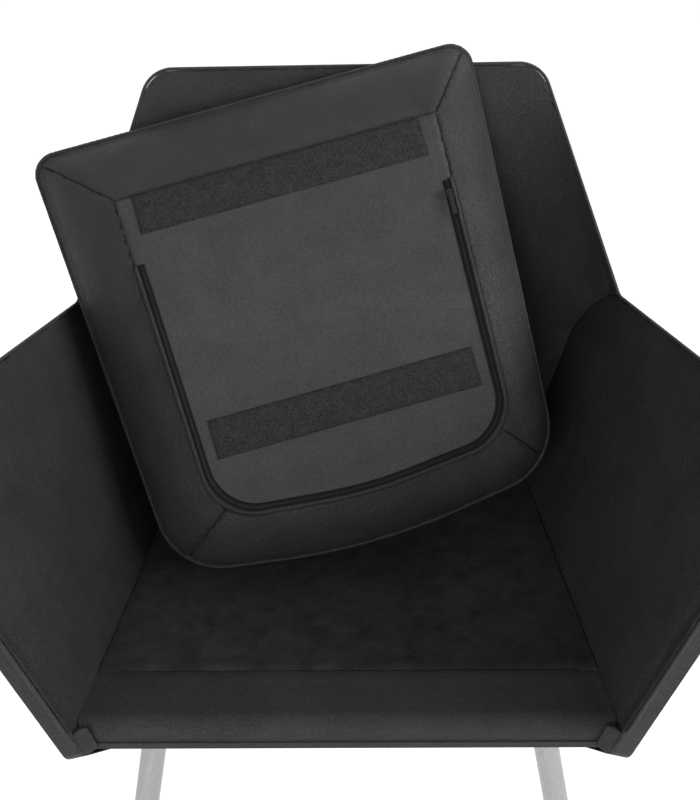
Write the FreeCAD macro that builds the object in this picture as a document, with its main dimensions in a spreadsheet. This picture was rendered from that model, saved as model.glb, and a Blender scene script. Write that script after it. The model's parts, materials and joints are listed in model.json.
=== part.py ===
import FreeCAD, Part
import math
import os
from FreeCAD import Matrix, Placement, Rotation, Vector
from types import SimpleNamespace

# An upholstered arm chair with its loose seat cushion turned over and leaned
# against the back. X runs to the viewer's right, Y to the back, Z up, in
# millimetres. The model is built with Y = 0 at the deck's front edge and is
# moved at the end, so that the origin lies on the floor under its middle.

# Driving sizes: name, value, what it measures
SIZES = (
    ("deck_height", 385, "floor to the felt"),
    ("deck_front_width", 486, "between the arms at the deck's front"),
    ("deck_rear_width", 416, "between the arms at the deck's rear"),
    ("deck_depth", 456, "front edge to the back"),
    ("felt_thickness", 2, "felt and leather strip on the deck"),
    ("deck_foam_thickness", 12, "foam under the felt"),
    ("seat_board_thickness", 12, "plywood seat"),
    ("strip_depth", 72, "front edge to the felt's sewn edge"),
    ("strip_roll_radius", 18, "roll of the front strip"),
    ("front_seam_drop", 20, "felt down to the front seam"),
    ("belly_lip", 27, "felt down to where the front slopes back"),
    ("base_depth", 84, "felt down to the underside"),
    ("belly_setback", 67, "front edge to the underside's front"),
    ("arm_lean", 19.7, "degrees that the arms lean out"),
    ("arm_front_rise", 312, "arm's front corner, measured up the arm"),
    ("arm_front_reach", 28, "front corner ahead of the deck"),
    ("arm_foot_reach", 8, "lower front corner ahead of the deck"),
    ("arm_rear_rise", 254, "rim where arm and back meet, up the arm"),
    ("arm_join_length", 395, "front edge to that place, along the arm"),
    ("arm_corner_radius", 25, "arm's front corner"),
    ("arm_foot_radius", 16, "arm's lower front corner"),
    ("leather_thickness", 1.5, "inner covers"),
    ("wall_foam_thickness", 8, "foam on the wall boards"),
    ("wall_board_thickness", 8, "plywood of arms and back"),
    ("outer_cover_thickness", 2.5, "outer covers"),
    ("rim_slope", 24, "how far the outer face stays below the rim"),
    ("rim_side_slope", 56, "how far it stays inside the rim where back and arms meet"),
    ("rim_edge", 3, "wall left at the back's top"),
    ("board_rim_gap", 6, "boards stay this far inside their covers"),
    ("back_height", 465, "felt to the back's top"),
    ("back_top_width", 430, "back's top between its corners"),
    ("back_lean", 8.2, "degrees that the back leans"),
    ("back_corner_radius", 32, "back's top corners"),
    ("wing_start", 166, "felt to where the back begins to wrap"),
    ("wing_width", 110, "wrapped part of the back at the arms"),
    ("wing_top_width", 80, "wrapped part of the back at its top"),
    ("wing_least_bow", 2, "bow of the back where it is nearly flat"),
    ("welt_diameter", 4, "piping along the rim"),
    ("welt_bend_radius", 9, "piping where arm and back meet"),
    ("gusset_side", 12, "corner gusset, across"),
    ("rail_thickness", 20, "seat rails"),
    ("rail_height", 50, "seat rails"),
    ("rail_front_gap", 66, "deck's front edge to the front rail"),
    ("corner_block_side", 38, "corner blocks"),
    ("plate_side", 50, "leg plates"),
    ("plate_thickness", 3, "leg plates"),
    ("plate_hole_inset", 6, "plate's edge to a hole's middle"),
    ("leg_diameter", 25, "leg tube"),
    ("leg_wall", 1.5, "leg tube"),
    ("leg_side_gap", 45, "leg's top inside the deck's side"),
    ("leg_front_gap", 92, "deck's front edge to the front legs' tops"),
    ("leg_rear_gap", 56, "rear legs' tops ahead of the deck's rear"),
    ("leg_splay_side", 10.8, "degrees outward"),
    ("leg_splay_front", 6.8, "degrees forward or back"),
    ("glide_height", 6, "foot glide below the tube"),
    ("glide_plug_height", 14, "foot glide inside the tube"),
    ("fit_gap", 0.1, "plug in tube"),
    ("screw_diameter", 5, "frame and plate screws"),
    ("screw_head_diameter", 9.5, "frame and plate screws"),
    ("screw_head_height", 2.5, "frame and plate screws"),
    ("plate_screw_length", 30, "plate screws"),
    ("wall_screw_length", 28, "frame screws"),
    ("dust_cover_thickness", 1, "cloth under the seat"),
    ("leg_hole_gap", 4, "cloth round a leg"),
    ("cushion_front_width", 493, "seam outline at the front"),
    ("cushion_rear_width", 427, "seam outline at the rear"),
    ("cushion_side_depth", 473, "seam outline along its sides"),
    ("cushion_depth", 504, "front edge to the peak of the rear edge"),
    ("cushion_front_radius", 25, "seam outline"),
    ("cushion_rear_radius", 72, "seam outline"),
    ("cushion_bow_radius", 700, "rear edge's middle"),
    ("border_height", 50, "base panel to seam"),
    ("border_bulge", 5, "border bowed out at its middle"),
    ("border_thickness", 3, "border leather, measured level"),
    ("crown_height", 24, "top panel above the seam"),
    ("panel_front_width", 350, "base panel at its front"),
    ("panel_rear_width", 324, "base panel at its rear"),
    ("panel_front_gap", 79.5, "cushion's front edge to the base panel"),
    ("panel_side_depth", 430, "cushion's front edge to the panel's rear corners"),
    ("panel_depth", 446, "cushion's front edge to the panel's rear peak"),
    ("panel_side_shift", 9, "base panel off the middle"),
    ("panel_front_radius", 3, "base panel"),
    ("panel_rear_radius", 55, "base panel"),
    ("panel_bow_radius", 500, "base panel's rear edge"),
    ("panel_thickness", 1.2, "base fabric"),
    ("edge_width", 2.5, "turned edge round the seam"),
    ("edge_thickness", 2, "turned edge round the seam"),
    ("hook_width", 42, "hook strips"),
    ("hook_thickness", 1.5, "hook strips"),
    ("front_hook_length", 312, "hook strip near the cushion's front"),
    ("rear_hook_length", 285, "hook strip near the cushion's rear"),
    ("front_hook_gap", 80, "cushion's front edge to that strip"),
    ("rear_hook_gap", 327, "cushion's front edge to that strip"),
    ("zip_front_gap", 150, "cushion's front edge to the zip's ends"),
    ("zip_tape_inset", 3, "panel's edge to the tape"),
    ("zip_tape_width", 8, "zip tape"),
    ("zip_tape_thickness", 0.8, "zip tape"),
    ("zip_coil_width", 2.4, "zip teeth"),
    ("zip_coil_thickness", 1.4, "zip teeth"),
    ("zip_lip_thickness", 2.4, "folded leather beside the zip"),
    ("slider_length", 10, "zip slider"),
    ("slider_width", 7, "zip slider"),
    ("slider_thickness", 3.6, "zip slider"),
    ("slider_gap", 0.3, "slider to teeth and tape"),
    ("slider_place", 168, "cushion's front edge to the slider"),
    ("pin_diameter", 1.4, "pull tab's pin"),
    ("pin_gap", 0.08, "pin to pull tab"),
    ("ear_thickness", 1, "slider's ears"),
    ("pull_length", 22, "pull tab"),
    ("pull_width", 4.4, "pull tab"),
    ("pull_thickness", 1.4, "pull tab"),
    ("cushion_lean", 30.2, "degrees from upright"),
    ("cushion_turn", 14, "degrees turned in its own plane"),
    ("cushion_swing", 2.6, "degrees turned about the upright"),
    ("cushion_corner_side", 185, "cushion's lower corner left of the middle"),
    ("cushion_front_start", 180, "where the cushion starts before it is leaned back"),
    ("rest_gap", 0.3, "cushion to deck and back"),
    ("overrun", 60, "how far cutting tools reach past the piece"),
)

# Places that are shares of the size that they follow
WALL_SCREW_SHARES = (0.28, 0.55, 0.85)
REAR_SCREW_SHARES = (-0.7, 0, 0.7)
CROWN_INSET_SHARES = (0, 0.09, 0.26, 0.56)
CROWN_RISE_SHARES = (0, 0.42, 0.78, 1)

doc = FreeCAD.newDocument("ArmChair")
sheet = doc.addObject("Spreadsheet::Sheet", "Sizes")
for row, (name, value, note) in enumerate(SIZES, start=1):
    sheet.set(f"A{row}", name)
    sheet.set(f"B{row}", str(value))
    sheet.set(f"C{row}", note)
    sheet.setAlias(f"B{row}", name)
doc.recompute()
dim = SimpleNamespace(**{name: float(sheet.get(name)) for name, value, note in SIZES})
nodes = {}


# Helpers for outlines and solids

def rounded_path(points, radii, closed):
    """Edges through the points, with an arc at each corner that has a radius."""
    count = len(points)
    edges = []
    joints = []
    for index, (corner, radius) in enumerate(zip(points, radii)):
        inner = closed or 0 < index < count - 1
        if not inner or radius == 0:
            joints.append((corner, None, corner))
            continue
        back = (points[index - 1] - corner).normalize()
        ahead = (points[(index + 1) % count] - corner).normalize()
        half = back.getAngle(ahead) / 2
        reach = radius / math.tan(half)
        middle = (back + ahead).normalize()
        crest = corner + middle * (radius / math.sin(half) - radius)
        joints.append((corner + back * reach, crest, corner + ahead * reach))
    last = count if closed else count - 1
    for index in range(count):
        start, crest, end = joints[index]
        if crest is not None:
            edges.append(Part.Arc(start, crest, end).toShape())
        if index < last:
            edges.append(Part.LineSegment(end, joints[(index + 1) % count][0]).toShape())
    return Part.Wire(edges)


def outline(points, radii, level):
    return rounded_path([Vector(x, y, level) for x, y in points], radii, True)


def prism(points, radii, low, high):
    face = Part.Face(outline(points, radii, low))
    return face.extrude(Vector(0, 0, high - low))


def inset_points(points, inset):
    """A convex outline, listed counter-clockwise, with every side moved in."""
    lines = []
    for index, (x, y) in enumerate(points):
        nx, ny = points[(index + 1) % len(points)]
        run = math.hypot(nx - x, ny - y)
        ux, uy = (nx - x) / run, (ny - y) / run
        lines.append((x - uy * inset, y + ux * inset, ux, uy))
    moved = []
    for index, (x, y, ux, uy) in enumerate(lines):
        px, py, vx, vy = lines[index - 1]
        cross = ux * vy - uy * vx
        step = (vx * (y - py) - vy * (x - px)) / cross
        moved.append((x + ux * step, y + uy * step))
    return moved


def slab(low, high):
    """A level block wider than the whole chair."""
    wide = dim.deck_front_width * 2
    return Part.makeBox(wide * 2, wide * 2, high - low, Vector(-wide, -wide, low))


def across(points, radii, low_x, high_x):
    """A profile in the Y, Z plane, swept along X."""
    wire = rounded_path([Vector(low_x, y, z) for y, z in points], radii, True)
    return Part.Face(wire).extrude(Vector(high_x - low_x, 0, 0))


def mirrored(shape):
    return shape.mirror(Vector(0, 0, 0), Vector(1, 0, 0))


def largest(shape):
    """The main solid, without slivers that a cut leaves beside it."""
    return max(shape.Solids, key=lambda solid: solid.Volume)


def keep(name, shape):
    """A node whose shape is worked out above, as one object of the document."""
    feature = doc.addObject("Part::Feature", name)
    feature.Shape = shape
    feature.Label = name
    nodes[name] = feature
    return feature


def keep_pair(name, shape):
    keep("right_" + name, shape)
    keep("left_" + name, mirrored(shape))


# The arm's own frame: u along the deck's side, v up the arm, w outward

deck_top = dim.deck_height
half_front = dim.deck_front_width / 2
half_rear = dim.deck_rear_width / 2
side_length = math.hypot(half_front - half_rear, dim.deck_depth)
along = Vector((half_rear - half_front) / side_length, dim.deck_depth / side_length, 0)
outward = Vector(along.y, -along.x, 0)
lean = math.radians(dim.arm_lean)
up_arm = outward * math.sin(lean) + Vector(0, 0, math.cos(lean))
off_arm = outward * math.cos(lean) - Vector(0, 0, math.sin(lean))
arm_origin = Vector(half_front, 0, deck_top)
arm_place = Placement(Matrix(
    along.x, up_arm.x, off_arm.x, arm_origin.x,
    along.y, up_arm.y, off_arm.y, arm_origin.y,
    along.z, up_arm.z, off_arm.z, arm_origin.z,
    0, 0, 0, 1))


def on_arm(u, v, w):
    return arm_origin + along * u + up_arm * v + off_arm * w


def placed_on_arm(shape):
    moved = shape.copy()
    moved.Placement = arm_place
    return moved


foam_face = dim.leather_thickness + dim.wall_foam_thickness
board_face = foam_face + dim.wall_board_thickness
wall = board_face + dim.outer_cover_thickness
lip_level = deck_top - dim.belly_lip
base_level = deck_top - dim.base_depth
board_high = deck_top - dim.felt_thickness - dim.deck_foam_thickness
rail_high = board_high - dim.seat_board_thickness
rail_low = rail_high - dim.rail_height


def outside(off):
    """Everything beyond the two planes that lie a distance off the arms' faces."""
    reach = side_length + dim.back_height
    block = Part.makeBox(reach * 2, reach * 2, reach, Vector(-reach / 2, -reach, off))
    right = placed_on_arm(block)
    return right.fuse(mirrored(right))


def arm_points(top_drop, front_inset):
    """Arm outline in u, v. It runs past the back and the underside."""
    foot_v = -dim.belly_lip / math.cos(lean)
    deep_v = -(dim.base_depth + dim.overrun) / math.cos(lean)
    run = dim.belly_setback + dim.arm_foot_reach
    fall = (dim.base_depth - dim.belly_lip) / math.cos(lean)
    slope = run / fall
    foot_u = -dim.arm_foot_reach + front_inset
    front_u = -dim.arm_front_reach + front_inset
    rear_u = side_length + dim.overrun
    rim_fall = (dim.arm_front_rise - dim.arm_rear_rise) / (dim.arm_join_length + dim.arm_front_reach)
    front_v = dim.arm_front_rise - top_drop
    rear_v = front_v - rim_fall * (rear_u + dim.arm_front_reach)
    return [(foot_u, foot_v), (foot_u + (foot_v - deep_v) * slope, deep_v), (rear_u, deep_v),
            (rear_u, rear_v), (front_u, front_v)]


ARM_RADII = (dim.arm_foot_radius, 0, 0, 0, dim.arm_corner_radius)


def arm_loft(low, high, low_drop, high_drop, inset):
    wires = [outline(arm_points(low_drop, inset), ARM_RADII, low),
             outline(arm_points(high_drop, inset), ARM_RADII, high)]
    return placed_on_arm(Part.makeLoft(wires, True, True))


def arm_prism(low, high, drop, inset):
    return placed_on_arm(prism(arm_points(drop, inset), ARM_RADII, low, high))


# The back: level sections with a straight middle and two wings that wrap forward

rim_join = on_arm(dim.arm_join_length, dim.arm_rear_rise, 0)
back_top = deck_top + dim.back_height
back_slope = math.tan(math.radians(dim.back_lean))
half_top = dim.back_top_width / 2


def back_plane(level):
    return dim.deck_depth + (level - deck_top) * back_slope


join_bow = back_plane(rim_join.z) - rim_join.y


def back_level(level):
    """Half width, forward bow and wing width of the back's inner face."""
    if level < rim_join.z:
        lift = (level - deck_top) * math.tan(lean)
        return half_rear + lift + wall * 2, dim.wing_least_bow, dim.wing_width
    share = (level - rim_join.z) / (back_top - rim_join.z)
    return (rim_join.x + (half_top - rim_join.x) * share,
            join_bow + (dim.wing_least_bow - join_bow) * share,
            dim.wing_width + (dim.wing_top_width - dim.wing_width) * share)


def back_section(level, near, far, near_trim, far_trim):
    """A level section of the back's wall between two distances behind its face."""
    half_width, bow, wing = back_level(level)
    radius = (wing * wing + bow * bow) / (2 * bow)
    sweep = 2 * math.atan(bow / wing)
    middle = half_width - wing
    front = back_plane(level)

    def wing_point(off, angle, side):
        reach = radius + off
        return Vector(side * (middle + reach * math.sin(angle)),
                      front - radius + reach * math.cos(angle), level)

    def wing_arc(off, trim, side):
        end = sweep - trim / (radius + off)
        return (wing_point(off, 0, side), wing_point(off, end / 2, side), wing_point(off, end, side))

    near_right = wing_arc(near, near_trim, 1)
    near_left = wing_arc(near, near_trim, -1)
    far_right = wing_arc(far, far_trim, 1)
    far_left = wing_arc(far, far_trim, -1)
    edges = [
        Part.LineSegment(near_left[0], near_right[0]).toShape(),
        Part.Arc(*near_right).toShape(),
        Part.LineSegment(near_right[2], far_right[2]).toShape(),
        Part.Arc(*reversed(far_right)).toShape(),
        Part.LineSegment(far_right[0], far_left[0]).toShape(),
        Part.Arc(*far_left).toShape(),
        Part.LineSegment(far_left[2], near_left[2]).toShape(),
        Part.Arc(*reversed(near_left)).toShape(),
    ]
    return Part.Wire(edges)


wing_level = deck_top + dim.wing_start
shoulder_level = back_top - dim.rim_slope
low_level = base_level - dim.overrun


def back_wall(near, far):
    """The back's wall between two distances behind its face, with a square rim."""
    levels = (low_level, wing_level, rim_join.z, back_top)
    return Part.makeLoft([back_section(level, near, far, 0, 0) for level in levels], True, True)


def back_shell(near, far, near_trim, drop, edge):
    """The same with a rim that slopes away to the rear."""
    levels = (low_level, wing_level, rim_join.z, shoulder_level - drop)
    far_trims = (dim.rim_slope, dim.rim_slope, dim.rim_side_slope, dim.rim_slope)
    wires = [back_section(level, near, far, near_trim, far_trim)
             for level, far_trim in zip(levels, far_trims)]
    wires.append(back_section(back_top - drop, near, edge, near_trim, near_trim))
    return Part.makeLoft(wires, True, True)


# What the two rounded top corners leave over
side_edge = Vector(rim_join.x - half_top, 0, rim_join.z - back_top).normalize()
corner_half = side_edge.getAngle(Vector(-1, 0, 0)) / 2
corner_tip = Vector(half_top, 0, back_top)
corner_reach = dim.back_corner_radius / math.tan(corner_half)
corner_middle = (side_edge + Vector(-1, 0, 0)).normalize()
corner_crest = corner_tip + corner_middle * (dim.back_corner_radius / math.sin(corner_half) - dim.back_corner_radius)
arc_top = corner_tip - Vector(corner_reach, 0, 0)
arc_end = corner_tip + side_edge * corner_reach
corner_far = [arc_end, arc_end + Vector(wall * 2, 0, 0), Vector(arc_end.x + wall * 2, 0, back_top + wall),
              Vector(arc_top.x, 0, back_top + wall), arc_top]
corner_wire = Part.Wire([Part.Arc(arc_top, corner_crest, arc_end).toShape()]
                        + Part.makePolygon(corner_far).Edges)
top_corner = Part.Face(corner_wire).extrude(Vector(0, dim.deck_depth * 2, 0))
top_corners = top_corner.fuse(mirrored(top_corner))

behind_face = back_wall(0, dim.overrun * 2)
behind_cover = back_wall(dim.leather_thickness, dim.overrun * 2)
behind_foam = back_wall(foam_face, dim.overrun * 2)
beyond_face = outside(0)
beyond_foam = outside(foam_face)
beyond_board = outside(board_face)
beyond_wall = outside(wall)
above_base = slab(base_level, back_top * 2)
above_rails = slab(rail_high, back_top * 2)


# Arms

def screw(length, head_down):
    """A screw along Z, its head's outer face at 0 and its tip at -length."""
    shank = Part.makeCylinder(dim.screw_diameter / 2, length, Vector(0, 0, -length))
    radius = dim.screw_head_diameter / 2
    if head_down:
        head = Part.makeCone(dim.screw_diameter / 2, radius, dim.screw_head_height,
                             Vector(0, 0, -dim.screw_head_height))
    else:
        head = Part.makeCylinder(radius, dim.screw_head_height, Vector(0, 0, -dim.screw_head_height))
    return shank.fuse(head).removeSplitter()


screw_v = (rail_high - dim.rail_height / 2 - deck_top) / math.cos(lean)
arm_screws = []
for share in WALL_SCREW_SHARES:
    fastener = screw(dim.wall_screw_length, True)
    fastener.Placement = arm_place.multiply(
        Placement(Vector(side_length * share, screw_v, board_face), Rotation()))
    arm_screws.append(fastener)
arm_screws += [mirrored(fastener) for fastener in arm_screws]

arm_cover = arm_prism(0, dim.leather_thickness, 0, 0).common(above_rails).cut(behind_face)
keep_pair("arm_inner_cover", arm_cover)

arm_envelope = arm_loft(dim.leather_thickness, wall, 0, dim.rim_slope, 0)
arm_hollow = arm_loft(dim.leather_thickness, board_face, dim.outer_cover_thickness,
                      dim.rim_slope, dim.outer_cover_thickness)
arm_board = arm_prism(foam_face, board_face, dim.rim_slope + dim.board_rim_gap, dim.board_rim_gap)
arm_board = arm_board.common(above_base).cut(behind_foam)
rear_of_face = behind_face.cut(beyond_foam)
arm_foam = arm_hollow.cut(arm_board).common(above_rails).cut([rear_of_face, behind_foam])
keep_pair("arm_foam", arm_foam)
keep_pair("arm_board", arm_board.cut(Part.makeCompound(arm_screws)))

arm_skin = arm_envelope.cut(arm_hollow).common(above_base).cut([rear_of_face, behind_foam])
foot_u, foot_v = -dim.arm_foot_reach, -dim.belly_lip / math.cos(lean)
front_run = (dim.arm_front_reach - dim.arm_foot_reach) / (dim.arm_front_rise - foot_v)
band_high = dim.arm_front_rise - dim.arm_corner_radius
band_points = [
    (foot_u + dim.outer_cover_thickness, foot_v),
    (foot_u + dim.outer_cover_thickness - front_run * (band_high - foot_v), band_high),
    (-dim.arm_front_reach - dim.overrun, band_high),
    (-dim.arm_front_reach - dim.overrun, foot_v)]
band_tool = placed_on_arm(prism(band_points, (0, 0, 0, 0), 0, wall * 2))
keep_pair("arm_front_band", arm_skin.common(band_tool))
keep_pair("arm_outer_cover", arm_skin.cut(band_tool))

# Back

back_cover = back_wall(0, dim.leather_thickness).common(above_rails)
keep("back_inner_cover", back_cover.cut([top_corners, beyond_foam]))
back_envelope = back_shell(-dim.wall_foam_thickness, wall, 0, 0, dim.rim_edge)
back_envelope = back_envelope.common(behind_cover).common(above_base)
back_hollow = back_shell(-dim.wall_foam_thickness * 2, board_face, dim.outer_cover_thickness,
                         dim.outer_cover_thickness, dim.leather_thickness + dim.fit_gap)
board_drop = dim.rim_slope + dim.board_rim_gap
side_drop = dim.rim_side_slope + dim.board_rim_gap
board_levels = (low_level, wing_level, rim_join.z, back_top - board_drop)
board_trims = (board_drop, board_drop, side_drop, board_drop)
board_reach = Part.makeLoft([back_section(level, 0, wall, trim, trim)
                             for level, trim in zip(board_levels, board_trims)], True, True)
back_board = back_hollow.common(behind_foam).common(board_reach).common(above_base).cut(beyond_board)

rear_screws = []
rear_screw_level = rail_high - dim.rail_height / 2
head_sink = dim.screw_head_diameter / 2 * back_slope
for share in REAR_SCREW_SHARES:
    fastener = screw(dim.wall_screw_length, True)
    seat = Vector(half_rear * share, back_plane(rear_screw_level) + board_face - head_sink, rear_screw_level)
    fastener.Placement = Placement(seat, Rotation(Vector(1, 0, 0), -90 - dim.back_lean))
    rear_screws.append(fastener)
wall_screws = Part.makeCompound(arm_screws + rear_screws)

back_foam = back_hollow.common(behind_cover).common(above_rails).cut(beyond_foam).cut(top_corners)
keep("back_foam", largest(back_foam.cut(back_board)))
keep("back_board", back_board.cut(wall_screws))
corner_front = back_wall(0, foam_face).common(beyond_foam)
back_skin = back_envelope.cut(top_corners).cut(beyond_wall).cut(back_hollow.cut(beyond_board))
keep("back_outer_cover", largest(back_skin.cut(corner_front)))

# Seat deck

wide = dim.deck_front_width
felt = slab(deck_top - dim.felt_thickness, deck_top).common(
    across([(dim.strip_depth, base_level), (wide, base_level), (wide, back_top), (dim.strip_depth, back_top)],
           (0, 0, 0, 0), -wide, wide))
keep("deck_felt", felt.cut([beyond_face, behind_face]))

seam_level = deck_top - dim.front_seam_drop
thin = dim.felt_thickness
roll = dim.strip_roll_radius
strip_points = [(0, seam_level), (thin, seam_level), (thin, deck_top - thin),
                (dim.strip_depth, deck_top - thin), (dim.strip_depth, deck_top), (0, deck_top)]
strip = across(strip_points, (0, 0, roll - thin, 0, 0, roll), -wide, wide)
keep("deck_front_strip", strip.cut(beyond_face))

board_front = thin + dim.gusset_side
foam_points = [(thin, rail_high), (board_front, rail_high), (board_front, board_high), (wide, board_high),
               (wide, deck_top - thin), (thin, deck_top - thin)]
deck_foam = across(foam_points, (0, 0, 0, 0, 0, roll - thin), -wide, wide)
keep("deck_foam", deck_foam.cut([beyond_face, behind_face]))

board_points = [(board_front, rail_high), (wide, rail_high), (wide, board_high), (board_front, board_high)]
seat_board = across(board_points, (0, 0, 0, 0), -wide, wide)
keep("seat_board", seat_board.cut([beyond_face, behind_face]))

skin = dim.felt_thickness
front_points = [(0, seam_level), (0, lip_level), (dim.belly_setback, base_level),
                (dim.belly_setback + skin, base_level + skin), (skin, lip_level + skin / 2), (skin, seam_level)]
belly = across(front_points, (0, 0, 0, 0, 0, 0), -wide, wide)
keep("front_belly_cover", belly.cut(beyond_face))

gusset_side = dim.gusset_side
gusset_wire = Part.makePolygon([on_arm(u, foot_v, w) for u, w in (
    (0, -gusset_side), (0, 0), (-dim.arm_foot_reach, 0), (0, -gusset_side))])
gusset = Part.Face(gusset_wire).extrude(up_arm * (-foot_v - dim.felt_thickness))
gusset = gusset.common(slab(lip_level, deck_top)).cut([nodes["deck_front_strip"].Shape, nodes["deck_foam"].Shape,
                                       nodes["front_belly_cover"].Shape, nodes["seat_board"].Shape])
keep_pair("corner_gusset", largest(gusset))

# Seat frame

rail_band = slab(rail_low, rail_high)
rail_inner = foam_face - dim.rail_thickness
rear_rail_front = back_plane(rail_low) + foam_face - dim.rail_thickness
side_rail = placed_on_arm(prism(
    [(dim.rail_front_gap, -dim.base_depth * 2), (side_length, -dim.base_depth * 2),
     (side_length, 0), (dim.rail_front_gap, 0)], (0, 0, 0, 0), rail_inner, foam_face))
side_rail = side_rail.common(rail_band).cut([behind_foam, Part.makeCompound(arm_screws)])
keep_pair("side_rail", side_rail)
beyond_rail = outside(rail_inner)


def cross_rail(front, rear):
    points = [(front, rail_low), (rear, rail_low), (rear, rail_high), (front, rail_high)]
    return across(points, (0, 0, 0, 0), -wide, wide).cut(beyond_rail)


front_rail_rear = dim.rail_front_gap + dim.rail_thickness
keep("front_rail", cross_rail(dim.rail_front_gap, front_rail_rear))
rear_rail = cross_rail(rear_rail_front, rear_rail_front + dim.rail_thickness * 2)
keep("rear_rail", rear_rail.cut([behind_foam, Part.makeCompound(rear_screws)]))

side_slope = (half_front - half_rear) / dim.deck_depth


def deck_half(y):
    return half_front - side_slope * y


leg_rear = dim.deck_depth - dim.leg_rear_gap
LEG_TOPS = {
    "front_right": (deck_half(dim.leg_front_gap) - dim.leg_side_gap, dim.leg_front_gap, 1, -1),
    "front_left": (dim.leg_side_gap - deck_half(dim.leg_front_gap), dim.leg_front_gap, -1, -1),
    "rear_right": (deck_half(leg_rear) - dim.leg_side_gap, leg_rear, 1, 1),
    "rear_left": (dim.leg_side_gap - deck_half(leg_rear), leg_rear, -1, 1),
}
plate_low = rail_low - dim.plate_thickness
hole_reach = dim.plate_side / 2 - dim.plate_hole_inset
plate_screws = []
for x, y, side, rear in LEG_TOPS.values():
    for sx, sy in ((1, 1), (-1, 1), (-1, -1), (1, -1)):
        fastener = screw(dim.plate_screw_length, False)
        place = Vector(x + sx * hole_reach, y + sy * hole_reach, plate_low - dim.screw_head_height)
        fastener.Placement = Placement(place, Rotation(Vector(1, 0, 0), 180))
        plate_screws.append(fastener)
screw_tool = Part.makeCompound(plate_screws)

blocks = []
block = dim.corner_block_side
for x, y, side, rear in LEG_TOPS.values():
    start = front_rail_rear if rear < 0 else rear_rail_front - block
    solid = Part.makeBox(wide, block, dim.rail_height, Vector(0, start, rail_low))
    solid = solid.cut(beyond_rail)
    inner_x = deck_half(start) + rail_inner / math.cos(lean) - math.tan(lean) * (deck_top - rail_low) - block
    solid = solid.common(Part.makeBox(wide, wide * 2, dim.rail_height * 2,
                                      Vector(inner_x, 0, rail_low - dim.rail_height / 2)))
    blocks.append(solid if side > 0 else mirrored(solid))
keep("corner_blocks", Part.makeCompound(blocks).cut(screw_tool))
for name in ("right_side_rail", "left_side_rail", "front_rail", "rear_rail"):
    nodes[name].Shape = nodes[name].Shape.cut(screw_tool)
keep("frame_screws", wall_screws)
keep("leg_screws", screw_tool)


# Legs: each is a document object whose sizes follow the sheet

def bound(feature, **formulas):
    for prop, formula in formulas.items():
        feature.setExpression(prop, formula)
    return feature


leg_foot = dim.glide_height
leg_height = plate_low - leg_foot
splay_side = math.tan(math.radians(dim.leg_splay_side))
splay_front = math.tan(math.radians(dim.leg_splay_front))
side_ref = "Sizes.plate_side"
for name, (x, y, side, rear) in LEG_TOPS.items():
    run = Vector(side * splay_side, rear * splay_front, -1)
    turn = Rotation(Vector(0, 0, -1), run)
    slant = run.Length
    extra = dim.leg_diameter
    top = Vector(x, y, plate_low) - run * extra
    tube = bound(doc.addObject("Part::Cylinder", name + "_tube"), Radius="Sizes.leg_diameter / 2")
    bore = bound(doc.addObject("Part::Cylinder", name + "_bore"),
                 Radius="Sizes.leg_diameter / 2 - Sizes.leg_wall")
    for cylinder in (tube, bore):
        cylinder.Height = (plate_low + extra * 2) * slant
        cylinder.Placement = Placement(top, turn.multiply(Rotation(Vector(1, 0, 0), 180)))
    trim = doc.addObject("Part::Box", name + "_trim")
    bound(trim, Length="Sizes.plate_side * 6", Width="Sizes.plate_side * 6")
    trim.Height = leg_height
    trim.Placement = Placement(Vector(x - dim.plate_side * 3, y - dim.plate_side * 3, leg_foot), Rotation())
    hollow = doc.addObject("Part::Cut", name + "_hollow")
    hollow.Base, hollow.Tool = tube, bore
    leg = doc.addObject("Part::Common", name + "_leg")
    leg.Base, leg.Tool = hollow, trim
    leg.Label = name + "_leg"
    nodes[leg.Label] = leg

    plate = bound(doc.addObject("Part::Box", name + "_plate_blank"), Length=side_ref, Width=side_ref,
                  Height="Sizes.plate_thickness")
    plate.Placement = Placement(Vector(x - dim.plate_side / 2, y - dim.plate_side / 2, plate_low), Rotation())
    drilled = doc.addObject("Part::Feature", name + "_plate_holes")
    drilled.Shape = screw_tool
    pierced = doc.addObject("Part::Cut", name + "_leg_plate")
    pierced.Base, pierced.Tool = plate, drilled
    pierced.Label = name + "_leg_plate"
    nodes[pierced.Label] = pierced

doc.recompute()
for name, (x, y, side, rear) in LEG_TOPS.items():
    run = Vector(side * splay_side, rear * splay_front, -1)
    turn = Rotation(Vector(0, 0, -1), run).multiply(Rotation(Vector(1, 0, 0), 180))
    top = Vector(x, y, plate_low)
    length = (plate_low + dim.leg_diameter) * run.Length
    foot = Part.makeCylinder(dim.leg_diameter / 2, length)
    plug = Part.makeCylinder(dim.leg_diameter / 2 - dim.leg_wall - dim.fit_gap, length)
    foot.Placement = plug.Placement = Placement(top, turn)
    glide = foot.common(slab(0, dim.glide_height))
    glide = glide.fuse(plug.common(slab(dim.glide_height, dim.glide_height + dim.glide_plug_height)))
    keep(name + "_glide", glide)

# Cloth under the seat, with a hole for each leg

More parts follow.
